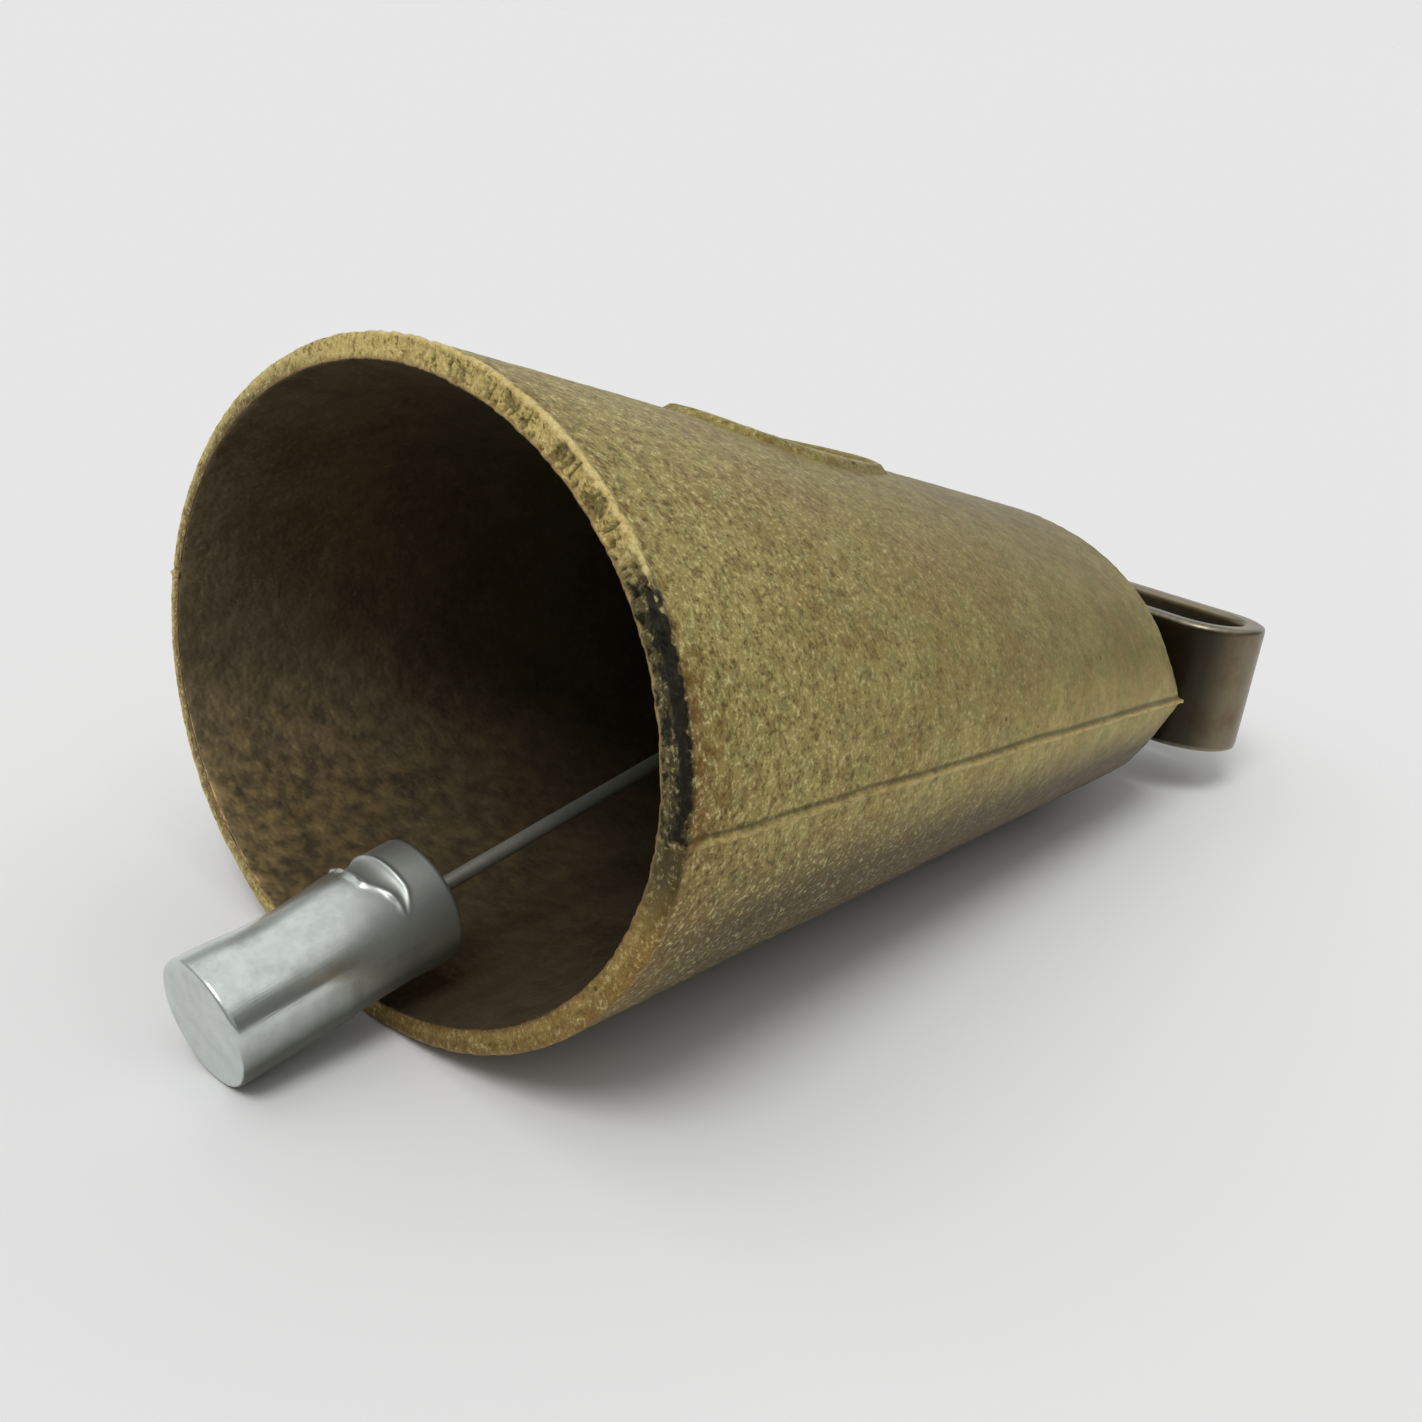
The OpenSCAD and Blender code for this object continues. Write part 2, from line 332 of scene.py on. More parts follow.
def dress(piece: bpy.types.Object, body: Body, slot: Slot, *nodes: str) -> None:
    """Puts a finished piece on its body in place of its CAD nodes, and reports it.

    Args:
        piece: the finished piece.
        body: the body that it rides on.
        slot: the record's material slot for its finish. Not used.
        nodes: the CAD nodes that it stands for.
    """
    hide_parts(*nodes)
    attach(piece, body.value)
    triangles = sum(len(p.vertices) - 2 for p in piece.data.polygons)
    log.info("%s rides on %s with %d triangles", piece.name, body.value, triangles)


def bridge(low: np.ndarray, high: np.ndarray) -> list[tuple[int, ...]]:
    """Faces between two closed rings, where one may have twice as many points as the other.

    Args:
        low: vertex numbers of the first ring.
        high: vertex numbers of the second ring.

    Returns:
        The vertex numbers of each face, without repeats.
    """
    faces = []
    count = min(len(low), len(high))
    for i in range(count):
        n = (i + 1) % count
        if len(low) == len(high):
            corners = [(low[i], low[n], high[n], high[i])]
        elif len(low) > len(high):
            middle, last = low[2 * i + 1], low[2 * n]
            corners = [(low[2 * i], middle, high[i]), (middle, high[n], high[i]), (middle, last, high[n])]
        else:
            middle, last = high[2 * i + 1], high[2 * n]
            corners = [(low[i], middle, high[2 * i]), (low[i], low[n], middle), (low[n], last, middle)]
        faces += [tuple(dict.fromkeys(int(c) for c in face)) for face in corners]
    return [face for face in faces if len(face) > 2]


def lathe(name: str, radius: np.ndarray, height: np.ndarray, segments: int,
          closed: bool = False) -> tuple[bpy.types.Object, np.ndarray]:
    """Turns a section about the Z axis, with a pole at each end unless the section is closed.

    Args:
        name: the object's name.
        radius: radius of each ring, or of each point of each ring, in millimetres.
        height: height of each ring in millimetres.
        segments: how many steps one turn has.
        closed: whether the last ring is the first one again.

    Returns:
        The turned object, and the number of each of its vertices in the grid of all points.
    """
    turn = np.linspace(0, 2 * math.pi, segments, endpoint=False)
    radius = radius.reshape(len(height), -1)
    points = np.stack([radius * np.cos(turn), radius * np.sin(turn), height[:, None] + 0 * turn], -1)
    numbers = np.arange(len(height) * segments).reshape(-1, segments)
    if closed:
        numbers[-1] = numbers[0]
    else:
        numbers[0], numbers[-1] = numbers[0, 0], numbers[-1, 0]
    right = np.roll(numbers, -1, 1)
    faces = np.stack([numbers[:-1], right[:-1], right[1:], numbers[1:]], -1)
    used, faces = np.unique(faces, return_inverse=True)
    faces = [list(dict.fromkeys(face)) for face in faces.reshape(-1, 4).tolist()]
    return mesh_object(name, points.reshape(-1, 3)[used], faces), used


@dataclass(frozen=True)
class CastBrass:
    """Sand-cast brass with an aged skin: dull olive-gold, mottled, paler where it is rubbed.

    The sand leaves a grain of about a millimetre. Its tops are painted pale, partly rubbed brass and partly
    painted highlight, and its lows darker, partly dark skin and partly painted shade. The rim is filed to a
    paler gold, browned on its lower side and scorched beside the near seam. The hollow has kept its dark
    casting skin. Painted shade darkens the skin towards the crown and below the seam.
    """

    olive: str = "#b0a05e"
    brown: str = "#9a7e42"
    moss: str = "#8c8a52"
    russet: str = "#8c6a36"
    recess: str = "#4a3c1c"
    worn_glint: str = "#e8dba2"
    painted_shade: str = "#564922"
    filed: str = "#dcc67e"
    rim_brown: str = "#8e6c34"
    rim_shade: str = "#54472a"
    edge_brown: str = "#8f6f4a"
    gold: str = "#e6cb88"
    seam_gold_glint: str = "#cfb273"
    groove_shadow: str = "#4f4a30"
    scorch: str = "#744c12"
    char: str = "#38341f"
    soot: str = "#17160f"
    pit: str = "#2f2a18"
    hollow: str = "#6a5f4a"
    hollow_light: str = "#786b53"
    rubbed: str = "#a08a60"
    metallic: float = 0.85
    roughness: float = 0.44
    rough_spread: float = 0.12
    patch_mm: float = 9.0
    speck_mm: float = 2.0
    tint_mm: float = 1.1
    grain_mm: float = 0.42
    grain_high_mm: float = 0.27
    pore_mm: float = 5.0

    def build(self) -> bpy.types.Material:
        """Builds the material.

        Returns:
            The material, which reads the casting's own attributes.
        """
        material, tree, shader = new_finish("sand_cast_brass")
        node = partial(add_node, tree)
        place = node("ShaderNodeTexCoord", out="Object")
        own = {name: node("ShaderNodeAttribute", out="Fac", attribute_name=name) for name in (
            "relief", "seam_line", "seam_groove", "rim_pale", "rim_warm", "rim_inner", "rim_shade", "bead",
            "scorch", "char", "soot", "corrugated", "painted_shade", "crisp", "inner", "rubbed")}
        noise = {name: node("ShaderNodeTexNoise", {
            "Vector": place, "Scale": 1 / (size * MM), "Detail": detail, "Roughness": rough})
            for name, size, detail, rough in (
                ("patch", self.patch_mm, 3, 0.6), ("speck", self.speck_mm, 2, 0.6),
                ("tint", self.tint_mm, 3, 0.65), ("grain", self.grain_mm, 5, 0.72))}
        pores = node("ShaderNodeTexVoronoi", {"Vector": place, "Scale": 1 / (self.pore_mm * MM)}, "Distance")
        ragged = {name: node("ShaderNodeMath", {0: noise["tint"], 1: 1.6, 2: own[name]},
                             operation="MULTIPLY_ADD") for name in ("scorch", "soot", "bead")}
        masks = {name: node("ShaderNodeMapRange", {
            "Value": value, "From Min": low, "From Max": high}, **SMOOTH)
                 for name, value, low, high in (
                     ("patches", noise["patch"], 0.40, 0.62), ("specks", noise["speck"], 0.46, 0.60),
                     ("tints", noise["tint"], 0.52, 0.66), ("glints", noise["grain"], 0.51, 0.61),
                     ("dimples", noise["grain"], 0.51, 0.40), ("pores", pores, 0.06, 0.03),
                     ("bright_clumps", noise["tint"], 0.60, 0.42), ("dark_clumps", noise["tint"], 0.40, 0.58),
                     ("tops", own["relief"], 0.05, 0.25), ("lows", own["relief"], -0.12, -0.34),
                     ("scorched", ragged["scorch"], 0.85, 1.85), ("sooty", ragged["soot"], 1.22, 1.50),
                     ("burr", ragged["bead"], 1.60, 1.90), ("wiped", noise["speck"], 0.30, 0.72),
                     ("cracks", noise["tint"], 0.50, 0.38))}
        masks |= own
        for name, by in (("glints", "bright_clumps"), ("dimples", "dark_clumps"), ("glints", "crisp"),
                         ("dimples", "crisp"), ("tints", "crisp"), ("cracks", "corrugated"),
                         ("wiped", "rubbed")):
            masks[name] = node("ShaderNodeMath", {0: masks[name], 1: masks[by]}, operation="MULTIPLY")
        # In the hollow the grain's glints are laid in rubbed gold, partly rubbed brass and partly painted
        # highlight.
        hollow = lay_colours(tree, linear(self.hollow), (
            (masks["patches"], 1.0, self.hollow_light), (masks["glints"], 0.4, self.rubbed),
            (masks["wiped"], 1.0, self.rubbed)))
        skin = lay_colours(tree, linear(self.olive), ((masks[name], share, above) for name, share, above in (
            ("patches", 0.52, self.brown), ("specks", 0.40, self.moss), ("painted_shade", 1.0, self.painted_shade),
            ("rim_pale", 0.85, self.filed), ("tints", 0.45, self.russet), ("rim_warm", 0.80, self.rim_brown),
            # dimples: darker in the grain's lows, partly dark skin and partly painted shade.
            ("rim_shade", 0.80, self.rim_shade), ("dimples", 0.75, self.recess),
            ("cracks", 0.50, self.rim_brown), ("scorched", 0.86, self.scorch), ("char", 0.84, self.char),
            # glints and tops: paler on the grain's and the relief's tops, partly rubbed brass and partly
            # painted highlight. lows and pores: darker in the rim's pits and in small pore spots, partly dark
            # skin and partly painted shade.
            ("glints", 0.70, self.worn_glint), ("tops", 0.45, self.worn_glint), ("lows", 0.56, self.pit),
            # The line beside the seam's ridge is painted shadow along a shallow recess.
            ("pores", 0.70, self.pit), ("seam_groove", 0.70, self.groove_shadow),
            # seam_line: gold on the seam's ridge, partly rubbed brass and partly painted highlight.
            ("seam_line", 0.80, self.seam_gold_glint), ("rim_inner", 0.60, self.edge_brown),
            # burr: gold on the rim's outer bead, partly filed metal and partly painted highlight.
            ("sooty", 0.93, self.soot), ("burr", 0.70, self.gold), ("inner", 1.0, hollow))))
        rough = node("ShaderNodeMapRange", {
            "Value": noise["speck"], "To Min": self.roughness - self.rough_spread,
            "To Max": self.roughness + self.rough_spread})
        crisp = node("ShaderNodeMath", {0: noise["grain"], 1: own["crisp"]}, operation="MULTIPLY")
        coarse = node("ShaderNodeMath", {0: noise["speck"], 1: 0.6}, operation="MULTIPLY")
        height = node("ShaderNodeMix", {0: own["inner"], 2: crisp, 3: coarse})
        bump = node("ShaderNodeBump", {
            "Strength": 1.0, "Distance": self.grain_high_mm * MM, "Height": height})
        fill(shader, {"Base Color": skin, "Roughness": rough, "Metallic": self.metallic, "Normal": bump})
        return material


@dataclass(frozen=True)
class OxidisedSteel:
    """Mild steel flat with a dark brown oxide: smooth and a little glossy, bare along its rubbed edges, whose
    pale colour is partly painted highlight, and darker low near the bell, partly soil and partly painted
    shade.
    """

    name: str
    skin: str
    rust: str
    bare: str
    grime: str = "#26221c"
    metallic: float = 0.95
    roughness: float = 0.32
    patch_mm: float = 6.0
    scuff_mm: float = 0.7
    scuff_high_mm: float = 0.05

    def build(self) -> bpy.types.Material:
        """Builds the material.

        Returns:
            The material, which reads the piece's edge_wear and grime attributes.
        """
        material, tree, shader = new_finish(self.name)
        node = partial(add_node, tree)
        place = node("ShaderNodeTexCoord", out="Object")
        wear_and_sheen, dirt_and_shade = [node("ShaderNodeAttribute", out="Fac", attribute_name=name)
                      for name in ("edge_wear", "grime")]
        patch, scuff = [node("ShaderNodeTexNoise", {
            "Vector": place, "Scale": 1 / (size * MM), "Detail": 4, "Roughness": 0.6})
            for size in (self.patch_mm, self.scuff_mm)]
        rusty = node("ShaderNodeMapRange", {"Value": patch, "From Min": 0.5, "From Max": 0.75})
        # Pale edges: partly rubbed bare steel and partly painted highlight.
        rubbed = node("ShaderNodeMapRange", {
            "Value": scuff, "From Min": 0.35, "From Max": 0.65, "To Min": 0.35, "To Max": 0.65})
        rubbed = node("ShaderNodeMath", {0: wear_and_sheen, 1: rubbed}, operation="MULTIPLY")
        colour = lay_colours(tree, linear(self.skin), (
            (rusty, 1.0, self.rust), (dirt_and_shade, 1.0, self.grime), (rubbed, 1.0, self.bare)))
        rough = node("ShaderNodeMapRange", {
            "Value": scuff, "To Min": self.roughness - 0.1, "To Max": self.roughness + 0.15})
        bump = node("ShaderNodeBump", {
            "Strength": 0.25, "Distance": self.scuff_high_mm * MM, "Height": scuff})
        fill(shader, {"Base Color": colour, "Roughness": rough, "Metallic": self.metallic, "Normal": bump})
        return material


@dataclass(frozen=True)
class ZincPlate:
    """Bright zinc plate on drawn steel: pale blue-grey, with fine draw lines along the bar.

    Where the metal was squeezed or carries soil it is duller and darker, and the same darkening is painted
    shade along the slug's underside and in its pocket.
    """

    name: str
    plate: str
    dull: str
    bare: str
    axis: Matrix
    metallic: float = 0.95
    roughness: float = 0.17
    soiled_and_shaded: str = "#66685e"
    worked_metallic: float = 0.84
    worked_rough: float = 0.28
    cloud_mm: float = 2.5
    line_mm: float = 0.12
    line_stretch: float = 25.0
    line_high_mm: float = 0.03

    def build(self) -> bpy.types.Material:
        """Builds the material.

        Returns:
            The material, which reads the piece's torn and worked attributes.
        """
        material, tree, shader = new_finish(self.name)
        node = partial(add_node, tree)
        place = node("ShaderNodeTexCoord", out="Object")
        torn, worked = [node("ShaderNodeAttribute", out="Fac", attribute_name=name)
                        for name in ("torn", "worked")]
        along = node("ShaderNodeMapping", {
            "Vector": place, "Rotation": self.axis.to_euler(), "Scale": (1, 1, self.line_stretch)},
            vector_type="TEXTURE")
        cloud = node("ShaderNodeTexNoise", {
            "Vector": place, "Scale": 1 / (self.cloud_mm * MM), "Detail": 5, "Roughness": 0.65})
        lines = node("ShaderNodeTexNoise", {"Vector": along, "Scale": 1 / (self.line_mm * MM), "Detail": 2})
        cloudy = node("ShaderNodeMapRange", {"Value": cloud, "From Min": 0.40, "From Max": 0.75})
        colour = lay_colours(tree, linear(self.plate), (
            (cloudy, 1.0, self.dull), (worked, 0.5, self.soiled_and_shaded), (torn, 1.0, self.bare)))
        rough = node("ShaderNodeMapRange", {
            "Value": cloud, "To Min": self.roughness - 0.06, "To Max": self.roughness + 0.12})
        rough = node("ShaderNodeMath", {0: worked, 1: self.worked_rough, 2: rough}, operation="MULTIPLY_ADD")
        metal = node("ShaderNodeMapRange", {
            "Value": worked, "To Min": self.metallic, "To Max": self.worked_metallic})
        bump = node("ShaderNodeBump", {"Strength": 0.2, "Distance": self.line_high_mm * MM, "Height": lines})
        fill(shader, {"Base Color": colour, "Roughness": rough, "Metallic": metal, "Normal": bump})
        return material


@dataclass
class Casting:
    """The cast body: an oval cup with a casting seam, a pitted rim and a raised oval.

    Its own axes are the bell's: X towards the near seam, Y towards the ground, Z from mouth to crown.
    The columns are closest together at the rim, half as many on the walls and a quarter inside.
    """

    place: Matrix
    finish: CastBrass
    mouth_w: float = 78.0
    mouth_d: float = 60.0
    body_h: float = 90.5
    crown_w: float = 49.5
    crown_d: float = 31.5
    wall: float = 2.2
    crown_wall: float = 2.6
    # How far the hollow lies off the middle, towards the near seam and towards the ground.
    core_shift: tuple[float, float] = (-0.75, 0.3)
    shoulder_h: float = 4.6
    shoulder_power: float = 1.5
    crown_rise: float = 4.2
    seat_d: float = 18.0
    bore: float = 4.1
    outer_round: float = 0.5
    inner_round: float = 0.35
    rim_band: float = 5.0
    oval_l: float = 28.0
    oval_w: float = 17.0
    oval_rim: float = 2.2
    oval_h: float = 0.7
    oval_z: float = 44.0
    fine_zone: float = 2.4
    fine_columns: int = 20
    quarter_columns: int = 152
    wall_rows: int = 142
    cap_rows: int = 24
    inner_wall_rows: int = 64
    inner_cap_rows: int = 14
    round_rows: int = 5
    oval_shine: float = 0.12
    # Stretches round the rim where a mark starts, is full, begins to fade and ends, in degrees from
    # the near seam and below 0 on the upper face.
    browned: Span = (-12, 8, 80, 130)
    shadowed: Span = (2, 17, 130, 170)
    charred: Span = (-43, -37, 5, 16)
    sooty: Span = (-40, -35, -6, -1)
    burred: Span = (-125, -90, -36, -27)
    scorched: Span = (-40, -22, -4, 9)
    singed: Span = (-105, -80, -45, -34)
    rubbed: Span = (84, 112, 136, 166)

    def half_w(self, z: float) -> float:
        """Half the body's width at a height."""
        return (self.mouth_w + (self.crown_w - self.mouth_w) * z / self.body_h) / 2

    def half_d(self, z: float) -> float:
        """Half the body's depth at a height."""
        return (self.mouth_d + (self.crown_d - self.mouth_d) * z / self.body_h) / 2

    def turns(self) -> tuple[np.ndarray, np.ndarray]:
        """Angles of the finest columns round the oval, closer together beside the two seams.

        Returns:
            The angles in radians from the near seam all the way round, and how far each lies from
            there along the rim, in millimetres.
        """
        fine = np.linspace(0, math.pi / 2, 2000)
        steps = np.hypot(np.diff(self.mouth_w / 2 * np.cos(fine)), np.diff(self.mouth_d / 2 * np.sin(fine)))
        length = np.concatenate([[0], np.cumsum(steps)])
        near = np.linspace(0, self.fine_zone, self.fine_columns, endpoint=False)
        far = np.linspace(self.fine_zone, length[-1], self.quarter_columns + 1)
        along = np.concatenate([near, far])
        quarter = np.interp(along, length, fine)
        half = np.concatenate([quarter, math.pi - quarter[-2::-1]])
        half_along = np.concatenate([along, 2 * along[-1] - along[-2::-1]])
        return (np.concatenate([half, math.pi + half[1:-1]]),
                np.concatenate([half_along, 2 * along[-1] + half_along[1:-1]]))

    def ring(self, turn: np.ndarray, z: float, inset: float, share: float = 1.0) -> np.ndarray:
        """One level ring, moved with the core as far as it lies inside the outer skin.

        Args:
            turn: the column angles.
            z: the ring's height above the mouth.
            inset: distance inside the outer skin.
            share: how much of the body's depth the ring has.

        Returns:
            One point for each column.
        """
        moved = inset / self.wall
        return np.stack([(self.half_w(z) - inset) * np.cos(turn) + self.core_shift[0] * moved,
                         (self.half_d(z) - inset) * share * np.sin(turn) + self.core_shift[1] * moved,
                         np.full_like(turn, z)], -1)

    def cap_ring(self, turn: np.ndarray, step: float, inset: float, drop: float) -> np.ndarray:
        """One ring of the crown, from the shoulder, 0, to the ridge between the corners, 1.

        Args:
            turn: the column angles.
            step: how far over the shoulder the ring lies.
            inset: distance inside the outer skin.
            drop: distance below the outer skin.

        Returns:
            One point for each column.
        """
        share = math.cos(math.pi / 2 * step)
        rise = (1 - share ** self.shoulder_power) ** (1 / self.shoulder_power)
        z = self.body_h - self.shoulder_h * (1 - rise)
        reach = np.hypot(np.cos(turn), share * np.sin(turn))
        lift = np.clip((1 - reach) / (1 - self.seat_d / self.crown_d), 0, 1)
        lift = lift * lift * (3 - 2 * lift)
        points = self.ring(turn, z, inset, share)
        points[:, 2] = z + (self.body_h + self.crown_rise - z) * lift - drop
        return points

    def wall_path(self) -> list[tuple[float, float, int]]:
        """The section of the side wall, from its top inside, over the rim, to its top outside.

        Returns:
            For each ring its distance inside the outer skin, its height and its column step.
        """
        outer_top = self.body_h - self.shoulder_h
        inner_top = outer_top - self.crown_wall
        quarter = np.linspace(0, math.pi / 2, self.round_rows)
        away, down = 1 - np.cos(quarter), 1 - np.sin(quarter)
        parts = (
            (self.wall, np.linspace(inner_top, self.rim_band, self.inner_wall_rows)[1:-1], 4),
            (self.wall, np.linspace(self.rim_band, 2.0, 3), 2),
            (self.wall, np.linspace(1.5, self.inner_round, 3)[:-1], 1),
            (self.wall - self.inner_round * away, self.inner_round * down, 1),
            (np.linspace(self.wall - self.inner_round, self.outer_round, 8)[1:-1], 0.0, 1),
            (self.outer_round * down, self.outer_round * away, 1),
            (0.0, np.linspace(self.outer_round, self.rim_band, 12)[1:], 1),
            (0.0, np.linspace(self.rim_band, outer_top, self.wall_rows)[1:-1], 2))
        return [(inset, z, every) for insets, heights, every in parts
                for inset, z in zip(*np.broadcast_arrays(insets, heights))]

    def rings(self, turn: np.ndarray) -> list[tuple[np.ndarray, float, float, int]]:
        """All rings, from the ridge inside, over the rim, to the ridge outside.

        Args:
            turn: the finest column angles.

        Returns:
            For each ring its points, its distance inside the skin as a share of the wall, its height
            above the mouth and its column step.
        """
        made = [(self.cap_ring(turn[::4], step, self.wall, self.crown_wall), 1.0, self.body_h, 4)
                for step in np.linspace(1, 0, self.inner_cap_rows + 1)]
        made += [(self.ring(turn[::every], z, inset), inset / self.wall, z, every)
                 for inset, z, every in self.wall_path()]
        made += [(self.cap_ring(turn[::2], step, 0.0, 0.0), 0.0, self.body_h, 2)
                 for step in np.linspace(0, 1, self.cap_rows + 1)]
        return made

    def oval(self, points: np.ndarray) -> np.ndarray:
        """How much of the raised oval's height each point of the upper broad face has.

        Args:
            points: the skin's points.

        Returns:
            A share from 0 to 1 for each point.
        """
        x, z = points[:, 0], points[:, 2] - self.oval_z
        middle_w, middle_l = (self.oval_w - self.oval_rim) / 2, (self.oval_l - self.oval_rim) / 2
        reach = np.hypot(x / middle_w, z / middle_l)
        radius = np.hypot(x, z) / np.maximum(reach, 1e-6)
        off = np.abs(reach - 1) * radius / (self.oval_rim / 2)
        return np.where(points[:, 1] < 0, np.clip(1.6 - 1.6 * off ** 2, 0, 1), 0)

    def marks(self, turn: np.ndarray, height: np.ndarray, across: np.ndarray) -> dict[str, np.ndarray]:
        """Where the rim is filed, browned, burred, scorched and sooty, and where shade is painted on the
        skin.

        Args:
            turn: each point's angle, in degrees from the near seam, below 0 on the upper face.
            height: each point's height above the mouth.
            across: each point's distance inside the outer skin, as a share of the wall.

        Returns:
            A share from 0 to 1 for each point, by name.
        """
        on_face = ramp(height, (0.5, 1), (1.1, 0))
        outer = across < 0.5
        warm = within(turn, self.browned)
        edge = ramp(height, (0, 1), (7, 0))
        far = ramp(np.abs(turn), (108, 0), (133, 1))
        below = within(turn, self.shadowed)
        charred = on_face * within(turn, self.charred) * ramp(across, (0.87, 1), (0.97, 0))
        core_wide = ramp(turn, (-40, 0.10), (-30, 0.32), (-16, 0.24), (-3, 0.04))
        core = np.exp(-(np.clip(across - core_wide, 0, None) / 0.13) ** 2 - (height / 0.6) ** 2)
        scorch = np.exp(-height / 3.0) * within(turn, self.scorched)
        singe = 0.9 * np.exp(-height / 1.5) * within(turn, self.singed) * ramp(height, (0.4, 0), (0.8, 1))
        # painted_shade: painted shade, darker on the upper face towards the crown and on the lower side below
        # the seam.
        painted_shade = ramp(turn, (-110, 0.54), (-70, 0.5), (-35, 0.22), (-12, 0.06)) * ramp(height, (6, 0), (66, 1))
        pitted = ramp(turn, (-125, 0), (-95, 0.5), (-70, 0.9), (-36, 1.2), (-12, 0))
        return {
            "inner": (across > 0.97).astype(float),
            "rubbed": within(turn, self.rubbed) * ramp(height, (5.4, 1), (41.4, 0)),
            "rim_pale": on_face * (1 - 0.8 * warm),
            "rim_warm": warm * np.maximum(on_face * (0.6 + 0.4 * np.abs(2 * across - 1)), 0.7 * edge * outer),
            "rim_inner": on_face * ramp(across, (0.8, 0), (0.95, 1)),
            "rim_shade": on_face * far * ramp(across, (0.25, 0), (0.75, 1)),
            "bead": np.exp(-((height - 0.15) / 0.3) ** 2) * ramp(across, (0.12, 1), (0.2, 0))
            * within(turn, self.burred),
            "scorch": (across < 0.6) * np.maximum(scorch, singe),
            "char": charred,
            "soot": np.maximum(core * within(turn, self.sooty), 0.52 * charred * (turn < 0)),
            "painted_shade": outer * np.maximum(painted_shade, below * np.clip((height + 3 + 22 * below) / 38, 0, 1)),
            "crisp": ramp(height, (10, 1), (72, 0.2)) * (1 - 0.35 * warm * on_face) * (1 - 0.45 * charred),
            "corrugated": ramp(height, (0.4, 1), (0.9, 0)) * pitted * within(across, (0.02, 0.1, 0.88, 0.98)),
            "edge": edge * (1 - 0.8 * far),
        }

    def base(self) -> bpy.types.Object:
        """The smooth casting, with the attributes that its relief and its finish read.

        Returns:
            The object, in the bell's axes.
        """
        turn, along = self.turns()
        rings = self.rings(turn)
        points, across, height, angle, arc = map(np.concatenate, zip(*(
            (ring, np.full(len(ring), inside), np.full(len(ring), z), turn[::every], along[::every])
            for ring, inside, z, every in rings)))
        numbers = np.split(np.arange(len(points)), np.cumsum([len(ring) for ring, *_ in rings])[:-1])
        # The ridge is a line, so the two halves of its ring share their points.
        for end in (0, -1):
            row = numbers[end]
            numbers[end] = row[np.minimum(np.arange(len(row)), (len(row) - np.arange(len(row))) % len(row))]
        faces = [face for low, high in zip(numbers, numbers[1:]) for face in bridge(low, high)]
        raised = self.oval(points) * (across < 0.01)
        points[:, 1] -= raised * self.oval_h
        marks = self.marks(np.degrees((angle + math.pi) % (2 * math.pi) - math.pi), height, across)
        marks |= {"raised": raised, "arc": arc * MM, "depth": across * self.wall * MM}
        kept = np.unique(np.concatenate([np.asarray(face) for face in faces]))
        renumber = np.zeros(len(points), dtype=int)
        renumber[kept] = np.arange(len(kept))
        made = mesh_object("bell_casting", points[kept], [renumber[list(face)].tolist() for face in faces])
        add_attributes(made.data, {name: values[kept] for name, values in marks.items()})
        return made

    def relief(self, tree: Tree, size: Inputs) -> Socket:
        """Gives the skin its swells, its sand grain, the seam, the rim's burr and pits, and the bore.

        Args:
            tree: the geometry tree.
            size: the tree's inputs.

        Returns:
            The finished skin.
        """
        node = partial(add_node, tree)
        position = node("GeometryNodeInputPosition")
        own = {name: node("GeometryNodeInputNamedAttribute", {"Name": name})
               for name in ("inner", "edge", "bead", "raised", "corrugated", "arc", "depth")}
        pit_place = node("ShaderNodeCombineXYZ", {
            axis: node("ShaderNodeMath", {0: own[value], 1: size[period]}, operation="DIVIDE")
            for axis, value, period in (("X", "arc", "Pit Width"), ("Y", "depth", "Pit Length"))})
        noise = {}
        for name, place, period, detail in (
                ("swell", position, size["Swell Size"], 2), ("grain", position, size["Grain Size"], 4),
                ("wander", position, size["Wander Length"], 1), ("broken", position, size["Seam Width"], 2),
                ("pit", pit_place, 1.0, 3)):
            scale = node("ShaderNodeMath", {0: 1.0, 1: period}, operation="DIVIDE")
            spread = node("ShaderNodeTexNoise", {
                "Vector": place, "Scale": scale, "Detail": detail, "Roughness": 0.6})
            noise[name] = node("ShaderNodeMath", {0: spread, 1: 2.0, 2: -1.0}, operation="MULTIPLY_ADD")
        side = node("ShaderNodeSeparateXYZ", {0: position}, "Y")
        shift = node("ShaderNodeMath", {0: noise["wander"], 1: size["Wander"], 2: size["Seam Shift"]},
                     operation="MULTIPLY_ADD")
        offset = node("ShaderNodeMath", {0: side, 1: shift}, operation="SUBTRACT")
        offset = node("ShaderNodeMath", {0: offset, 1: size["Seam Width"]}, operation="DIVIDE")
        faint = node("ShaderNodeMapRange", {
            "Value": own["edge"], "From Min": 0.5, "From Max": 1.0, "To Min": 1.0, "To Max": 0.35})
        outside = node("ShaderNodeMath", {0: 1.0, 1: own["inner"]}, operation="SUBTRACT")
        faint = node("ShaderNodeMath", {0: faint, 1: outside}, operation="MULTIPLY")
        lines = {}
        for name, centre, wide in (("seam_line", 0.0, 0.55), ("seam_groove", -0.8, 0.5)):
            off = node("ShaderNodeMath", {0: offset, 1: centre}, operation="SUBTRACT")
            off = node("ShaderNodeMath", {0: off}, operation="ABSOLUTE")
            line = node("ShaderNodeMapRange", {
                "Value": off, "From Min": 0.05, "From Max": wide, "To Min": 1.0, "To Max": 0.0}, **SMOOTH)
            lines[name] = node("ShaderNodeMath", {0: line, 1: faint}, operation="MULTIPLY")
        ragged = node("ShaderNodeMath", {0: noise["broken"], 1: 1.3, 2: 0.8}, operation="MULTIPLY_ADD")
        breaks = node("ShaderNodeMapRange", {
            "Value": noise["broken"], "From Min": -0.3, "From Max": 0.2, "To Min": 0.15, "To Max": 1.0})
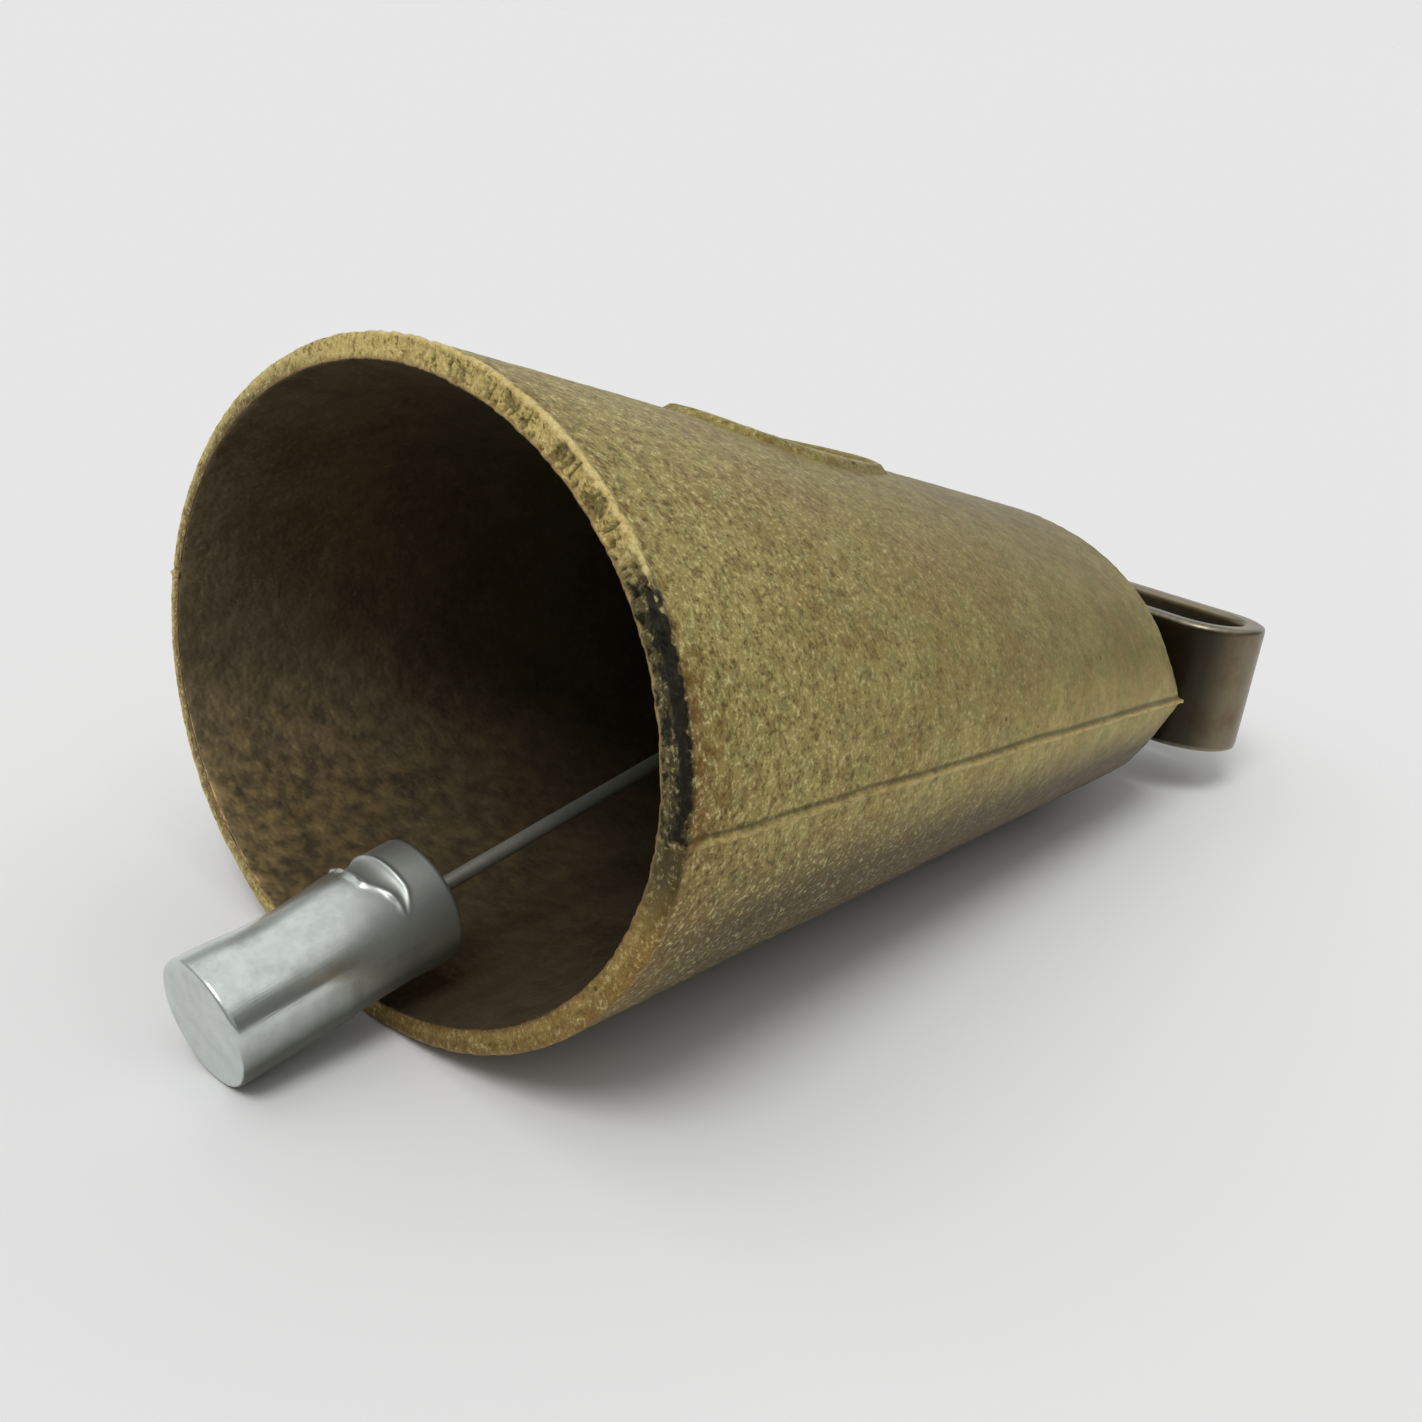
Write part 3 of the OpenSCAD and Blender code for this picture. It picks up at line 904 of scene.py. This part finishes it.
        lines["seam_line"] = node("ShaderNodeMath", {0: lines["seam_line"], 1: breaks}, operation="MULTIPLY")
        coarse = node("ShaderNodeMapRange", {
            "Value": own["edge"], "From Min": 0.7, "From Max": 1.0, "To Min": 1.0, "To Max": 2.0})
        pits = node("ShaderNodeMapRange", {
            "Value": noise["pit"], "From Min": -0.06, "From Max": 0.20}, **SMOOTH)
        fine: Socket | float = 0.0
        for share, by, height, sign in (
                (noise["grain"], coarse, "Grain Height", 1.0),
                (lines["seam_line"], ragged, "Seam Height", 1.0),
                (lines["seam_groove"], 0.3, "Seam Height", -1.0),
                (own["bead"], ragged, "Bead Height", 1.0), (pits, own["corrugated"], "Pit Depth", -1.0)):
            part = node("ShaderNodeMath", {0: share, 1: by}, operation="MULTIPLY")
            part = node("ShaderNodeMath", {0: part, 1: size[height]}, operation="MULTIPLY")
            fine = node("ShaderNodeMath", {0: part, 1: sign, 2: fine}, operation="MULTIPLY_ADD")
        whole = node("ShaderNodeMath", {0: noise["swell"], 1: size["Swell Height"], 2: fine},
                     operation="MULTIPLY_ADD")
        move = node("ShaderNodeVectorMath", {0: node("GeometryNodeInputNormal"), "Scale": whole},
                    operation="SCALE")
        in_mm = node("ShaderNodeMath", {0: fine, 1: MM}, operation="DIVIDE")
        in_mm = node("ShaderNodeMath", {0: own["raised"], 1: self.oval_shine, 2: in_mm},
                     operation="MULTIPLY_ADD")
        skin = size["Geometry"]
        for name, value in (("relief", in_mm), *lines.items()):
            skin = node("GeometryNodeStoreNamedAttribute", {0: skin, "Name": name, "Value": value})
        return drill(tree, node("GeometryNodeSetPosition", {0: skin, "Offset": move}), size)

    def rub_flat(self, piece: bpy.types.Object) -> None:
        """Rubs the flat on which the bell lies, level with the floor.

        Args:
            piece: the casting, in the row frame.
        """
        places = np.empty(3 * len(piece.data.vertices), dtype=np.float32)
        piece.data.vertices.foreach_get("co", places)
        places[2::3] = np.maximum(places[2::3], 0.0)
        piece.data.vertices.foreach_set("co", places)
        piece.data.update()

    def build(self) -> None:
        """Builds the casting and puts it in place of its CAD node."""
        crown = self.body_h + self.crown_rise - self.crown_wall / 2
        sizes = metres({
            "Swell Height": 0.14, "Swell Size": 12, "Grain Height": 0.12, "Grain Size": 1.2,
            "Seam Height": 0.3, "Seam Width": 0.72, "Seam Shift": -0.2, "Wander": 0.32, "Wander Length": 17,
            "Bead Height": 0.28, "Pit Depth": 0.42, "Pit Width": 0.62, "Pit Length": 2.6,
            "Bore": self.bore / 2, "Bore Height": crown, "Bore Length": 4 * self.crown_wall})
        piece = grow(self.base(), "sand_cast_relief", self.relief, self.finish.build(), sizes, self.place)
        self.rub_flat(piece)
        dress(piece, Body.BELL, Slot.CAST_BRASS, "bell_body")


@dataclass
class StrapLoop:
    """The flat steel strap, bent into a closed loop over the crown, in the bell's axes."""

    place: Matrix
    finish: OxidisedSteel
    seat_z: float = 94.7
    width: float = 15.0
    thick: float = 2.5
    loop_w: float = 49.2
    slot_h: float = 9.1
    lap_l: float = 9.0
    lap_gap: float = 0.1
    bore: float = 4.1
    edge_round: float = 0.45
    grime_and_shade_h: float = 8.0
    bend_steps: int = 28

    def path(self) -> np.ndarray:
        """The strap's middle line, from the end on the crown, round the loop, to the end that laps it.

        Returns:
            The points, in the plane of X and Z.
        """
        half = self.thick / 2
        low = self.seat_z + half
        lap = self.seat_z + self.thick + self.lap_gap + half
        top = lap + half + self.slot_h + half
        far_r, near_r = (top - low) / 2, (top - lap) / 2
        far_x = -(self.loop_w / 2 - half - far_r)
        near_x = self.loop_w / 2 - half - near_r
        points = [(self.lap_l, low)]
        for angle in np.linspace(-math.pi / 2, -3 * math.pi / 2, self.bend_steps):
            points.append((far_x + far_r * math.cos(angle), low + far_r + far_r * math.sin(angle)))
        for angle in np.linspace(math.pi / 2, -math.pi / 2, self.bend_steps):
            points.append((near_x + near_r * math.cos(angle), lap + near_r + near_r * math.sin(angle)))
        points.append((-self.lap_l, lap))
        return np.array([(x, 0.0, z) for x, z in points])

    def sweep(self, tree: Tree, size: Inputs) -> Socket:
        """Sweeps the strap's section along its path, dents it and drills it for the rivet.

        Args:
            tree: the geometry tree.
            size: the tree's inputs.

        Returns:
            The strap.
        """
        node = partial(add_node, tree)
        line = node("GeometryNodeMeshToCurve", {0: size["Geometry"]})
        line = node("GeometryNodeResampleCurve", {0: line, "Length": size["Step"]}, mode="LENGTH")
        flat = node("GeometryNodeCurvePrimitiveQuadrilateral", {
            "Width": size["Width"], "Height": size["Thickness"]})
        flat = node("GeometryNodeFilletCurve", {
            0: flat, "Count": 4, "Radius": size["Edge Round"]}, mode="POLY")
        flat = node("GeometryNodeResampleCurve", {0: flat, "Length": size["Edge Round"]}, mode="LENGTH")
        strap = node("GeometryNodeCurveToMesh", {"Curve": line, "Profile Curve": flat, "Fill Caps": True})
        strap = drill(tree, hammer(tree, strap, size, 2), size)
        across, up = [node("ShaderNodeSeparateXYZ", {0: node("GeometryNodeInputPosition")}, axis)
                      for axis in ("Y", "Z")]
        side = node("ShaderNodeMath", {0: across}, operation="ABSOLUTE")
        side = node("ShaderNodeMath", {0: side, 1: size["Width"]}, operation="DIVIDE")
        # The strap's pale edges: partly rubbed bare steel and partly painted highlight along the edge faces.
        wear_and_sheen, corner = [node("ShaderNodeMapRange", {
            "Value": side, "From Min": start, "From Max": full, "To Min": least}, **SMOOTH)
            for start, full, least in ((0.474, 0.486, 0.0), (0.499, 0.492, 0.75))]
        wear_and_sheen = node("ShaderNodeMath", {0: wear_and_sheen, 1: corner}, operation="MULTIPLY")
        # Darker low on the strap near the crown, partly soil and partly painted shade where the strap meets
        # the bell.
        above = node("ShaderNodeMath", {0: up, 1: size["Seat Height"]}, operation="SUBTRACT")
        above = node("ShaderNodeMath", {0: above, 1: size["Grime And Shade Height"]}, operation="DIVIDE")
        grime = node("ShaderNodeMapRange", {
            "Value": above, "From Min": 0.45, "From Max": 1.0, "To Min": 0.9, "To Max": 0.0}, **SMOOTH)
        for name, value in (("edge_wear", wear_and_sheen), ("grime", grime)):
            strap = node("GeometryNodeStoreNamedAttribute", {0: strap, "Name": name, "Value": value})
        return strap

    def build(self) -> None:
        """Builds the strap and puts it in place of its CAD node."""
        sizes = metres({
            "Width": self.width, "Thickness": self.thick, "Edge Round": self.edge_round, "Step": 0.9,
            "Bore": self.bore / 2, "Bore Height": self.seat_z + self.thick, "Bore Length": 3 * self.thick,
            "Dent Height": 0.12, "Dent Size": 7, "Seat Height": self.seat_z, "Grime And Shade Height": self.grime_and_shade_h})
        piece = grow(line_object("strap_band", self.path()), "swept_strap", self.sweep, self.finish.build(),
                     sizes, self.place)
        dress(piece, Body.BELL, Slot.STRAP_STEEL, "strap_loop")


@dataclass
class Hanger:
    """The peened rivet with its washer and its forged eye in the hollow, in the bell's axes."""

    place: Matrix
    finish: OxidisedSteel
    slot_z: float = 99.8
    ceiling_z: float = 92.1
    pivot_z: float = 61.0
    shank_d: float = 4.0
    head_d: float = 7.6
    head_h: float = 1.6
    washer_d: float = 10.0
    washer_t: float = 0.8
    collar_d: float = 8.0
    collar_t: float = 1.6
    eye_t: float = 2.8
    eye_bore: float = 6.0
    lie_turn: float = 10.0
    fit_gap: float = 0.05
    end_play: float = 0.1
    edge: float = 0.2
    segments: int = 64
    head_rings: int = 9
    eye_steps: int = 72
    eye_sides: int = 28

    def washer(self) -> bpy.types.Object:
        """The washer, a ring with softened edges.

        Returns:
            The object, in the bell's axes.
        """
        inner, outer = self.shank_d / 2 + self.fit_gap, self.washer_d / 2
        low, high, edge = self.slot_z, self.slot_z + self.washer_t, self.edge
        soft = edge * 0.3
        profile = [(inner, low), (outer - edge, low), (outer - soft, low + soft), (outer, low + edge),
                   (outer, high - edge), (outer - soft, high - soft), (outer - edge, high),
                   (inner + edge, high), (inner, high - edge), (inner, low)]
        return lathe("rivet_washer_ring", *np.array(profile).T, self.segments, closed=True)[0]

    def shank(self) -> bpy.types.Object:
        """The rivet: peened head, shank, collar and the stem that runs into the eye.

        Returns:
            The turned object, in the bell's axes.
        """
        stem = self.pivot_z + self.eye_bore + self.eye_t
        shank, collar, edge = self.shank_d / 2, self.collar_d / 2, self.edge
        under, head = self.ceiling_z - self.end_play, self.slot_z + self.washer_t + self.end_play
        foot = under - self.collar_t
        profile = [(0.0, stem), (shank, stem), (shank, foot), (collar - edge, foot), (collar, foot + edge),
                   (collar, under - edge), (collar - edge, under), (shank, under), (shank, head)]
        ball = (self.head_d ** 2 / 4 + self.head_h ** 2) / (2 * self.head_h)
        wide = math.asin(self.head_d / 2 / ball)
        profile += [(ball * math.sin(a), head + self.head_h - ball + ball * math.cos(a))
                    for a in np.linspace(wide, wide / self.head_rings, self.head_rings)]
        profile.append((0.0, head + self.head_h))
        return lathe("peened_hanger", *np.array(profile).T, self.segments)[0]

    def forging(self, tree: Tree, size: Inputs) -> Socket:
        """Joins the eye to the stem and gives both their hammer marks.

        Args:
            tree: the geometry tree.
            size: the tree's inputs.

        Returns:
            The hanger.
        """
        node = partial(add_node, tree)
        ring, section = [node("GeometryNodeCurvePrimitiveCircle", {
            "Resolution": steps, "Radius": size[radius]})
            for steps, radius in ((self.eye_steps, "Eye Radius"), (self.eye_sides, "Eye Thickness"))]
        eye = node("GeometryNodeCurveToMesh", {"Curve": ring, "Profile Curve": section})
        height = node("ShaderNodeCombineXYZ", {"Z": size["Eye Height"]})
        eye = node("GeometryNodeTransform", {
            0: eye, "Translation": height, "Rotation": (math.pi / 2, 0, 0)})
        whole = node("GeometryNodeMeshBoolean", {"Mesh 2": eye}, operation="UNION", solver="EXACT")
        fill(whole.node, {"Mesh 2": size["Geometry"]})
        return hammer(tree, whole, size, 1)

    def build(self) -> None:
        """Builds the washer and the hanger and puts them in place of their CAD nodes."""
        material = self.finish.build()
        ring = self.washer()
        ring.data.transform(self.place)
        ring.data.materials.append(material)
        dress(ring, Body.BELL, Slot.FIXING_STEEL, "rivet_washer")
        turned = self.place @ Matrix.Rotation(-math.radians(self.lie_turn), 4, "Z")
        eye_r = (self.eye_bore + self.eye_t) / 2
        sizes = metres({
            "Eye Radius": eye_r, "Eye Thickness": self.eye_t / 2, "Eye Height": self.pivot_z + eye_r,
            "Dent Height": 0.1, "Dent Size": 2.2})
        piece = grow(self.shank(), "forged_eye", self.forging, material, sizes, turned)
        dress(piece, Body.HANGER, Slot.FIXING_STEEL, "hanger_eye")


@dataclass
class Clapper:
    """The clapper: a wire with a twisted eye, and the slug squeezed on to its end.

    Its own axes have the pivot at the origin, the wire along -Z and the swing's axis along X.
    """

    place: Matrix
    wire_finish: ZincPlate
    slug_finish: ZincPlate
    wire_d: float = 1.5
    wire_sides: int = 20
    rod_steps: int = 40
    twist_steps: int = 25
    eye_steps: int = 60
    eye_bore: float = 4.8
    hanger_eye_t: float = 2.8
    eye_gap: float = 0.15
    twist_r: float = 0.68
    twist_l: float = 4.0
    lead_l: float = 3.0
    slug_d: float = 12.0
    slug_l: float = 23.0
    reach: float = 59.5
    dull_from: float = 42.0
    dullness: float = 1.9
    bore_l: float = 14.0
    chamfer: float = 0.4
    lip_at: float = 3.8
    lip_lean: float = 1.4
    lip_high: float = 0.10
    pocket_w: float = 2.6
    pocket_deep: float = 0.42
    pocket_turn: float = 70.0
    burr_high: float = 0.24
    squeeze_turn: float = -15.0
    squeeze_wide: float = 95.0
    squeeze_deep: float = 0.48
    squeeze_l: float = 16.0
    anvil_turn: float = 150.0
    anvil_wide: float = 55.0
    anvil_deep: float = 0.18
    anvil_reach: Span = (2.5, 4.5, 11.0, 12.2)
    worked_l: float = 13.0
    columns: int = 200
    rows: int = 150

    def wire_path(self) -> np.ndarray:
        """The wire's middle line: up the rod, one turn of twist, round the eye and back down the twist.

        Returns:
            The points.
        """
        eye_r = (self.eye_bore + self.wire_d) / 2
        eye_z = self.hanger_eye_t / 2 + self.eye_gap + self.wire_d / 2 - eye_r
        low = eye_z - eye_r - self.twist_l
        lead = low - self.lead_l
        end = -(self.reach + self.bore_l - 0.2)
        points = [(0.0, 0.0, z) for z in np.linspace(end, lead, self.rod_steps)]
        steps = np.linspace(0, 1, self.twist_steps)
        points += [(0.0, self.twist_r * math.sin(math.pi * s / 2) ** 2, lead + self.lead_l * s)
                   for s in steps[1:]]
        twist = [(self.twist_r * math.sin(2 * math.pi * s), self.twist_r * math.cos(2 * math.pi * s),
                  low + self.twist_l * s) for s in steps]
        points += twist[1:]
        open_by = math.asin(min(1.0, self.twist_r / eye_r))
        turn = np.linspace(-math.pi / 2 + open_by, -math.pi / 2 - open_by + 2 * math.pi, self.eye_steps)
        points += [(0.0, eye_r * math.cos(a), eye_z + eye_r * math.sin(a)) for a in turn[1:-1]]
        points += [(-x, -y, z) for x, y, z in reversed(twist)]
        return np.array(points)

    def sweep(self, tree: Tree, size: Inputs) -> Socket:
        """Draws round wire along its path, bright at the slug and dull towards the eye.

        Args:
            tree: the geometry tree.
            size: the tree's inputs.

        Returns:
            The wire.
        """
        node = partial(add_node, tree)
        line = node("GeometryNodeMeshToCurve", {0: size["Geometry"]})
        line = node("GeometryNodeResampleCurve", {0: line, "Length": size["Step"]}, mode="LENGTH")
        section = node("GeometryNodeCurvePrimitiveCircle", {
            "Resolution": self.wire_sides, "Radius": size["Wire Radius"]})
        wire = node("GeometryNodeCurveToMesh", {"Curve": line, "Profile Curve": section, "Fill Caps": True})
        along = node("ShaderNodeSeparateXYZ", {0: node("GeometryNodeInputPosition")}, "Z")
        dull = node("ShaderNodeMapRange", {
            "Value": along, "From Min": size["Bright End"], "From Max": size["Dull End"],
            "To Max": size["Dullness"]})
        return node("GeometryNodeStoreNamedAttribute", {0: wire, "Name": "worked", "Value": dull})

    def slug_radius(self, turn: np.ndarray, back: np.ndarray) -> tuple[np.ndarray, ...]:
        """The slug's radius where it was squeezed on to the wire.

        The punch left a lip, a pocket in front of it and a torn burr that closes the pocket's other
        side. Beyond the burr the bar has a shallow waist, and the anvil pressed a flat on the other
        side.

        Args:
            turn: angles round the slug in degrees, from the side that lies up.
            back: distance from the end with the wire.

        Returns:
            The radius, how torn the metal is and how far it lies in the pocket, at each point.
        """
        off = np.abs(turn)
        past = back - self.lip_at - self.lip_lean * ramp(off, (45, 0), (72, 1)) ** 1.5
        wide = self.pocket_w * np.clip((self.pocket_turn - off) / 46, 0.02, 1)
        inside = np.clip((self.pocket_turn - off) / 24, 0, 1)
        pocket = wide / self.pocket_w * np.sin(math.pi * np.clip(past / wide, 0, 1)) ** 0.6
        rag = np.sin(0.23 * turn + 3.1 * back) * np.sin(0.13 * turn - 2.3 * back + 1)
        rag = rag + 0.3 * np.sin(0.55 * turn)
        burr = np.exp(-((past - wide - 0.12 * rag) / 0.34) ** 2) * inside
        rim = np.exp(-((past + 0.16) / 0.2) ** 2) * inside
        flat = np.clip(1 - ((turn - self.squeeze_turn) / self.squeeze_wide) ** 2, 0, 1)
        waist = np.sin(math.pi * np.clip((past - wide) / self.squeeze_l, 0, 1)) ** 2
        anvil_off = (turn - self.anvil_turn + 180) % 360 - 180
        anvil = np.sqrt(np.clip(1 - (anvil_off / self.anvil_wide) ** 2, 0, 1))
        anvil = anvil * within(back, self.anvil_reach)
        depth = self.pocket_deep * pocket + self.squeeze_deep * flat * waist + self.anvil_deep * anvil
        raised = self.lip_high * rim + self.burr_high * burr * (0.75 + 0.35 * rag)
        return self.slug_d / 2 - depth + raised, np.clip(burr + 0.4 * rim, 0, 1), pocket

    def slug(self) -> bpy.types.Object:
        """The slug, with its chamfered ends, its blind hole and the crimp.

        Returns:
            The object, in the clapper's axes.
        """
        turn = np.linspace(0, 2 * math.pi, self.columns, endpoint=False)
        body = np.linspace(self.chamfer, self.slug_l - self.chamfer, self.rows)
        from_top = (np.degrees(turn) + 270) % 360 - 180
        radius, torn, pocket = self.slug_radius(from_top[None, :], self.slug_l - body[:, None])
        full, edge, pole = self.slug_d / 2, self.chamfer, 0.002
        hole, floor = self.wire_d / 2 + 0.05, self.slug_l - self.bore_l
        chamfered = [(full - 1.2 * edge, 0.0), (full - 0.7 * edge, 0.03), (full - 0.25 * edge, 0.3 * edge)]
        near = np.array([(pole, 0.0), (full / 2, 0.0), *chamfered])
        far = np.array([*((r, self.slug_l - z) for r, z in reversed(chamfered)), (hole + 1.5, self.slug_l),
                        (hole, self.slug_l), (hole, floor), (pole, floor)])
        all_round = np.ones(self.columns)
        radius = np.concatenate([near[:, :1] * all_round, radius, far[:, :1] * all_round])
        height = np.concatenate([near[:, 1], body, far[:, 1]])
        made, used = lathe("crimped_slug", radius, height - (self.reach + self.slug_l), self.columns)
        back = self.slug_l - height[:, None]
        off = np.abs(from_top[None, :])
        # Painted shade along the slug's underside, darker towards its bottom edge.
        under = ramp(off, (88, 0), (122, 1.9)) * (back < self.slug_l - 0.1)
        crimped = ramp(back, (self.worked_l - 6, 1), (self.worked_l, 0)) * ramp(off, (27.5, 0.25), (65, 1))
        collar = ramp(off, (25, 0.5), (45, 0.9))
        worked = np.maximum(np.where(back < self.lip_at, collar, crimped), under)
        mask = np.zeros_like(worked)
        on_body = slice(len(near), len(near) + self.rows)
        mask[on_body] = torn
        # The pocket and the torn burr are darker and duller, partly soil and partly painted shade in the
        # pocket.
        worked[on_body] += 1.3 * pocket + 0.7 * torn
        add_attributes(made.data, {"torn": mask.ravel()[used], "worked": worked.ravel()[used]})
        return made

    def build(self) -> None:
        """Builds the wire and the slug and puts them in place of their CAD nodes."""
        sizes = metres({"Wire Radius": self.wire_d / 2, "Step": 0.35, "Bright End": -self.reach,
                        "Dull End": -self.dull_from})
        sizes["Dullness"] = self.dullness
        rod = grow(line_object("clapper_rod", self.wire_path()), "drawn_wire", self.sweep,
                   self.wire_finish.build(), sizes, self.place)
        dress(rod, Body.CLAPPER, Slot.WIRE_STEEL, "clapper_wire")
        slug = self.slug()
        slug.data.transform(self.place)
        slug.data.shade_smooth()
        slug.data.materials.append(self.slug_finish.build())
        dress(slug, Body.CLAPPER, Slot.SLUG_ZINC, "clapper_slug")


@dataclass
class Studio:
    """The pale floor, the soft light and the camera at the photograph's viewing angle.

    The room is as pale as the floor on the far side, so no edge shows between them, and dimmer on
    the camera's side, which gives the metal its darker tones.
    """

    backdrop: str = "#e6e6e6"
    paper: str = "#d8d8d8"
    dim_side: str = "#7c7c7c"
    dark_band: str = "#5c5e5c"
    far_side: str = "#b0b2b0"
    ceiling: str = "#ffffff"
    floor_m: float = 60.0
    sun_power: float = 1.4
    sun_spread: float = 24.0
    sun_from: tuple[float, float, float] = (-0.45, -0.25, 0.85)
    camera_at: tuple[float, float, float] = (-118.55, -117.30, 84.58)
    camera_aim: tuple[float, float, float] = (-10.10, 1.67, 16.30)
    camera_roll: float = 2.6
    lens: float = 43.04
    shift: tuple[float, float] = (0.0352, 0.0140)

    def floor(self) -> None:
        """Lays the floor, which keeps the part's shadow."""
        half = self.floor_m / 2 / MM
        corners = np.array([(-half, -half, 0), (half, -half, 0), (half, half, 0), (-half, half, 0)])
        floor = mesh_object("floor", corners, [(0, 1, 2, 3)])
        material, _, shader = new_finish("matt_paper")
        fill(shader, {"Base Color": linear(self.paper), "Roughness": 1.0, "Specular IOR Level": 0.0})
        floor.data.materials.append(material)

    def world(self) -> None:
        """Sets the room: a plain colour that fades from the backdrop's side to the camera's."""
        world = bpy.data.worlds.new("soft_room")
        bpy.context.scene.world = world
        world.use_nodes = True
        tree = world.node_tree
        tree.nodes.clear()
        node = partial(add_node, tree)
        view = Vector(self.camera_at) - Vector(self.camera_aim)
        view.z = 0
        right = Vector((-view.y, view.x, 0))
        place = node("ShaderNodeTexCoord", out="Generated")
        facing, beside = [node("ShaderNodeVectorMath", {0: place, 1: way.normalized()}, "Value",
                               operation="DOT_PRODUCT") for way in (view, right)]
        high = node("ShaderNodeSeparateXYZ", {0: place}, "Z")
        dim, risen, overhead, sideways, low = [node("ShaderNodeMapRange", {
            "Value": value, "From Min": start, "From Max": full}, **SMOOTH) for value, start, full in (
                (facing, 0.0, 0.85), (high, 0.10, 0.34), (high, 0.48, 0.74), (beside, 0.68, 0.88),
                (high, 0.66, 0.42))]
        band = node("ShaderNodeMath", {0: sideways, 1: low}, operation="MULTIPLY")
        colour = lay_colours(tree, linear(self.backdrop), (
            (dim, 1.0, self.dim_side), (risen, 1.0, self.far_side), (overhead, 1.0, self.ceiling),
            (band, 1.0, self.dark_band)))
        node("ShaderNodeOutputWorld", {0: node("ShaderNodeBackground", {0: colour, 1: 1.0})})

    def sun(self) -> None:
        """Adds the one soft lamp, high on the left, which lights the floor evenly."""
        data = bpy.data.lights.new("high_softbox", "SUN")
        data.energy, data.angle = self.sun_power, math.radians(self.sun_spread)
        lamp = bpy.data.objects.new("high_softbox", data)
        lamp.rotation_euler = Vector(self.sun_from).to_track_quat("Z", "Y").to_euler()
        bpy.context.scene.collection.objects.link(lamp)

    def camera(self) -> None:
        """Sets the camera where the photograph was taken from."""
        data = bpy.data.cameras.new("photo_view")
        data.sensor_width, data.lens = 36.0, self.lens
        data.shift_x, data.shift_y = self.shift
        data.clip_start = 0.005
        camera = bpy.data.objects.new("photo_view", data)
        at, aim = Vector(self.camera_at) * MM, Vector(self.camera_aim) * MM
        turn = (aim - at).to_track_quat("-Z", "Y").to_matrix().to_4x4()
        roll = Matrix.Rotation(math.radians(self.camera_roll), 4, "Z")
        camera.matrix_world = Matrix.Translation(at) @ turn @ roll
        bpy.context.scene.collection.objects.link(camera)
        bpy.context.scene.camera = camera

    def build(self) -> None:
        """Builds the floor, the room, the lamp and the camera."""
        self.floor()
        self.world()
        self.sun()
        self.camera()
        bpy.context.scene.view_settings.view_transform = "Standard"


def bell_axes(seat_z: float) -> Matrix:
    """The bell's axes in the row frame, from the joint on the bell's axis at the crown's seat.

    Args:
        seat_z: height of that joint above the mouth, in millimetres.

    Returns:
        The matrix from the bell's axes, in metres, to the row frame.
    """
    swivel = next(j for j in frame["joints"] if j["name"] == "hanger_swivel")
    up = Vector(swivel["axis"]).normalized()
    near = Vector((0, -1, 0))
    turn = Matrix((near, up.cross(near), up)).transposed().to_4x4()
    return Matrix.Translation(Vector(swivel["pos_m"]) - up * seat_z * MM) @ turn


def clapper_axes() -> Matrix:
    """The clapper's axes in the row frame, from its joint and the slug's place.

    Returns:
        The matrix from the clapper's axes, in metres, to the row frame.
    """
    swing = next(j for j in frame["joints"] if j["name"] == "clapper_swing")
    pivot, side = Vector(swing["pos_m"]), Vector(swing["axis"]).normalized()
    low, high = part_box("clapper_slug")
    up = (pivot - (low + high) / 2).normalized()
    ahead = up.cross(side).normalized()
    turn = Matrix((ahead.cross(up), ahead, up)).transposed().to_4x4()
    return Matrix.Translation(pivot) @ turn


def main() -> None:
    """Builds the bell, its loop, its hanger, its clapper and the studio."""
    logging.basicConfig(level=logging.INFO, format="%(name)s: %(message)s")
    strap_steel = OxidisedSteel("oxidised_mild_steel", skin="#7d735c", rust="#69563c", bare="#a59c86")
    fixing_steel = OxidisedSteel("dull_rivet_steel", skin="#6a665e", rust="#5c4a34", bare="#9a968c")
    upright, hung = bell_axes(StrapLoop.seat_z), clapper_axes()
    wire_zinc = ZincPlate("galvanised_wire", plate="#a3a399", dull="#8a8a81", bare="#8a8a84", axis=hung,
                          metallic=0.9, roughness=0.42)
    slug_zinc = ZincPlate("zinc_plated_bar", plate="#ccd2ce", dull="#b4bab5", bare="#bfc4bf", axis=hung)
    Casting(upright, CastBrass()).build()
    StrapLoop(upright, strap_steel).build()
    Hanger(upright, fixing_steel).build()
    Clapper(hung, wire_zinc, slug_zinc).build()
    Studio().build()


if __name__ == "__main__":
    main()
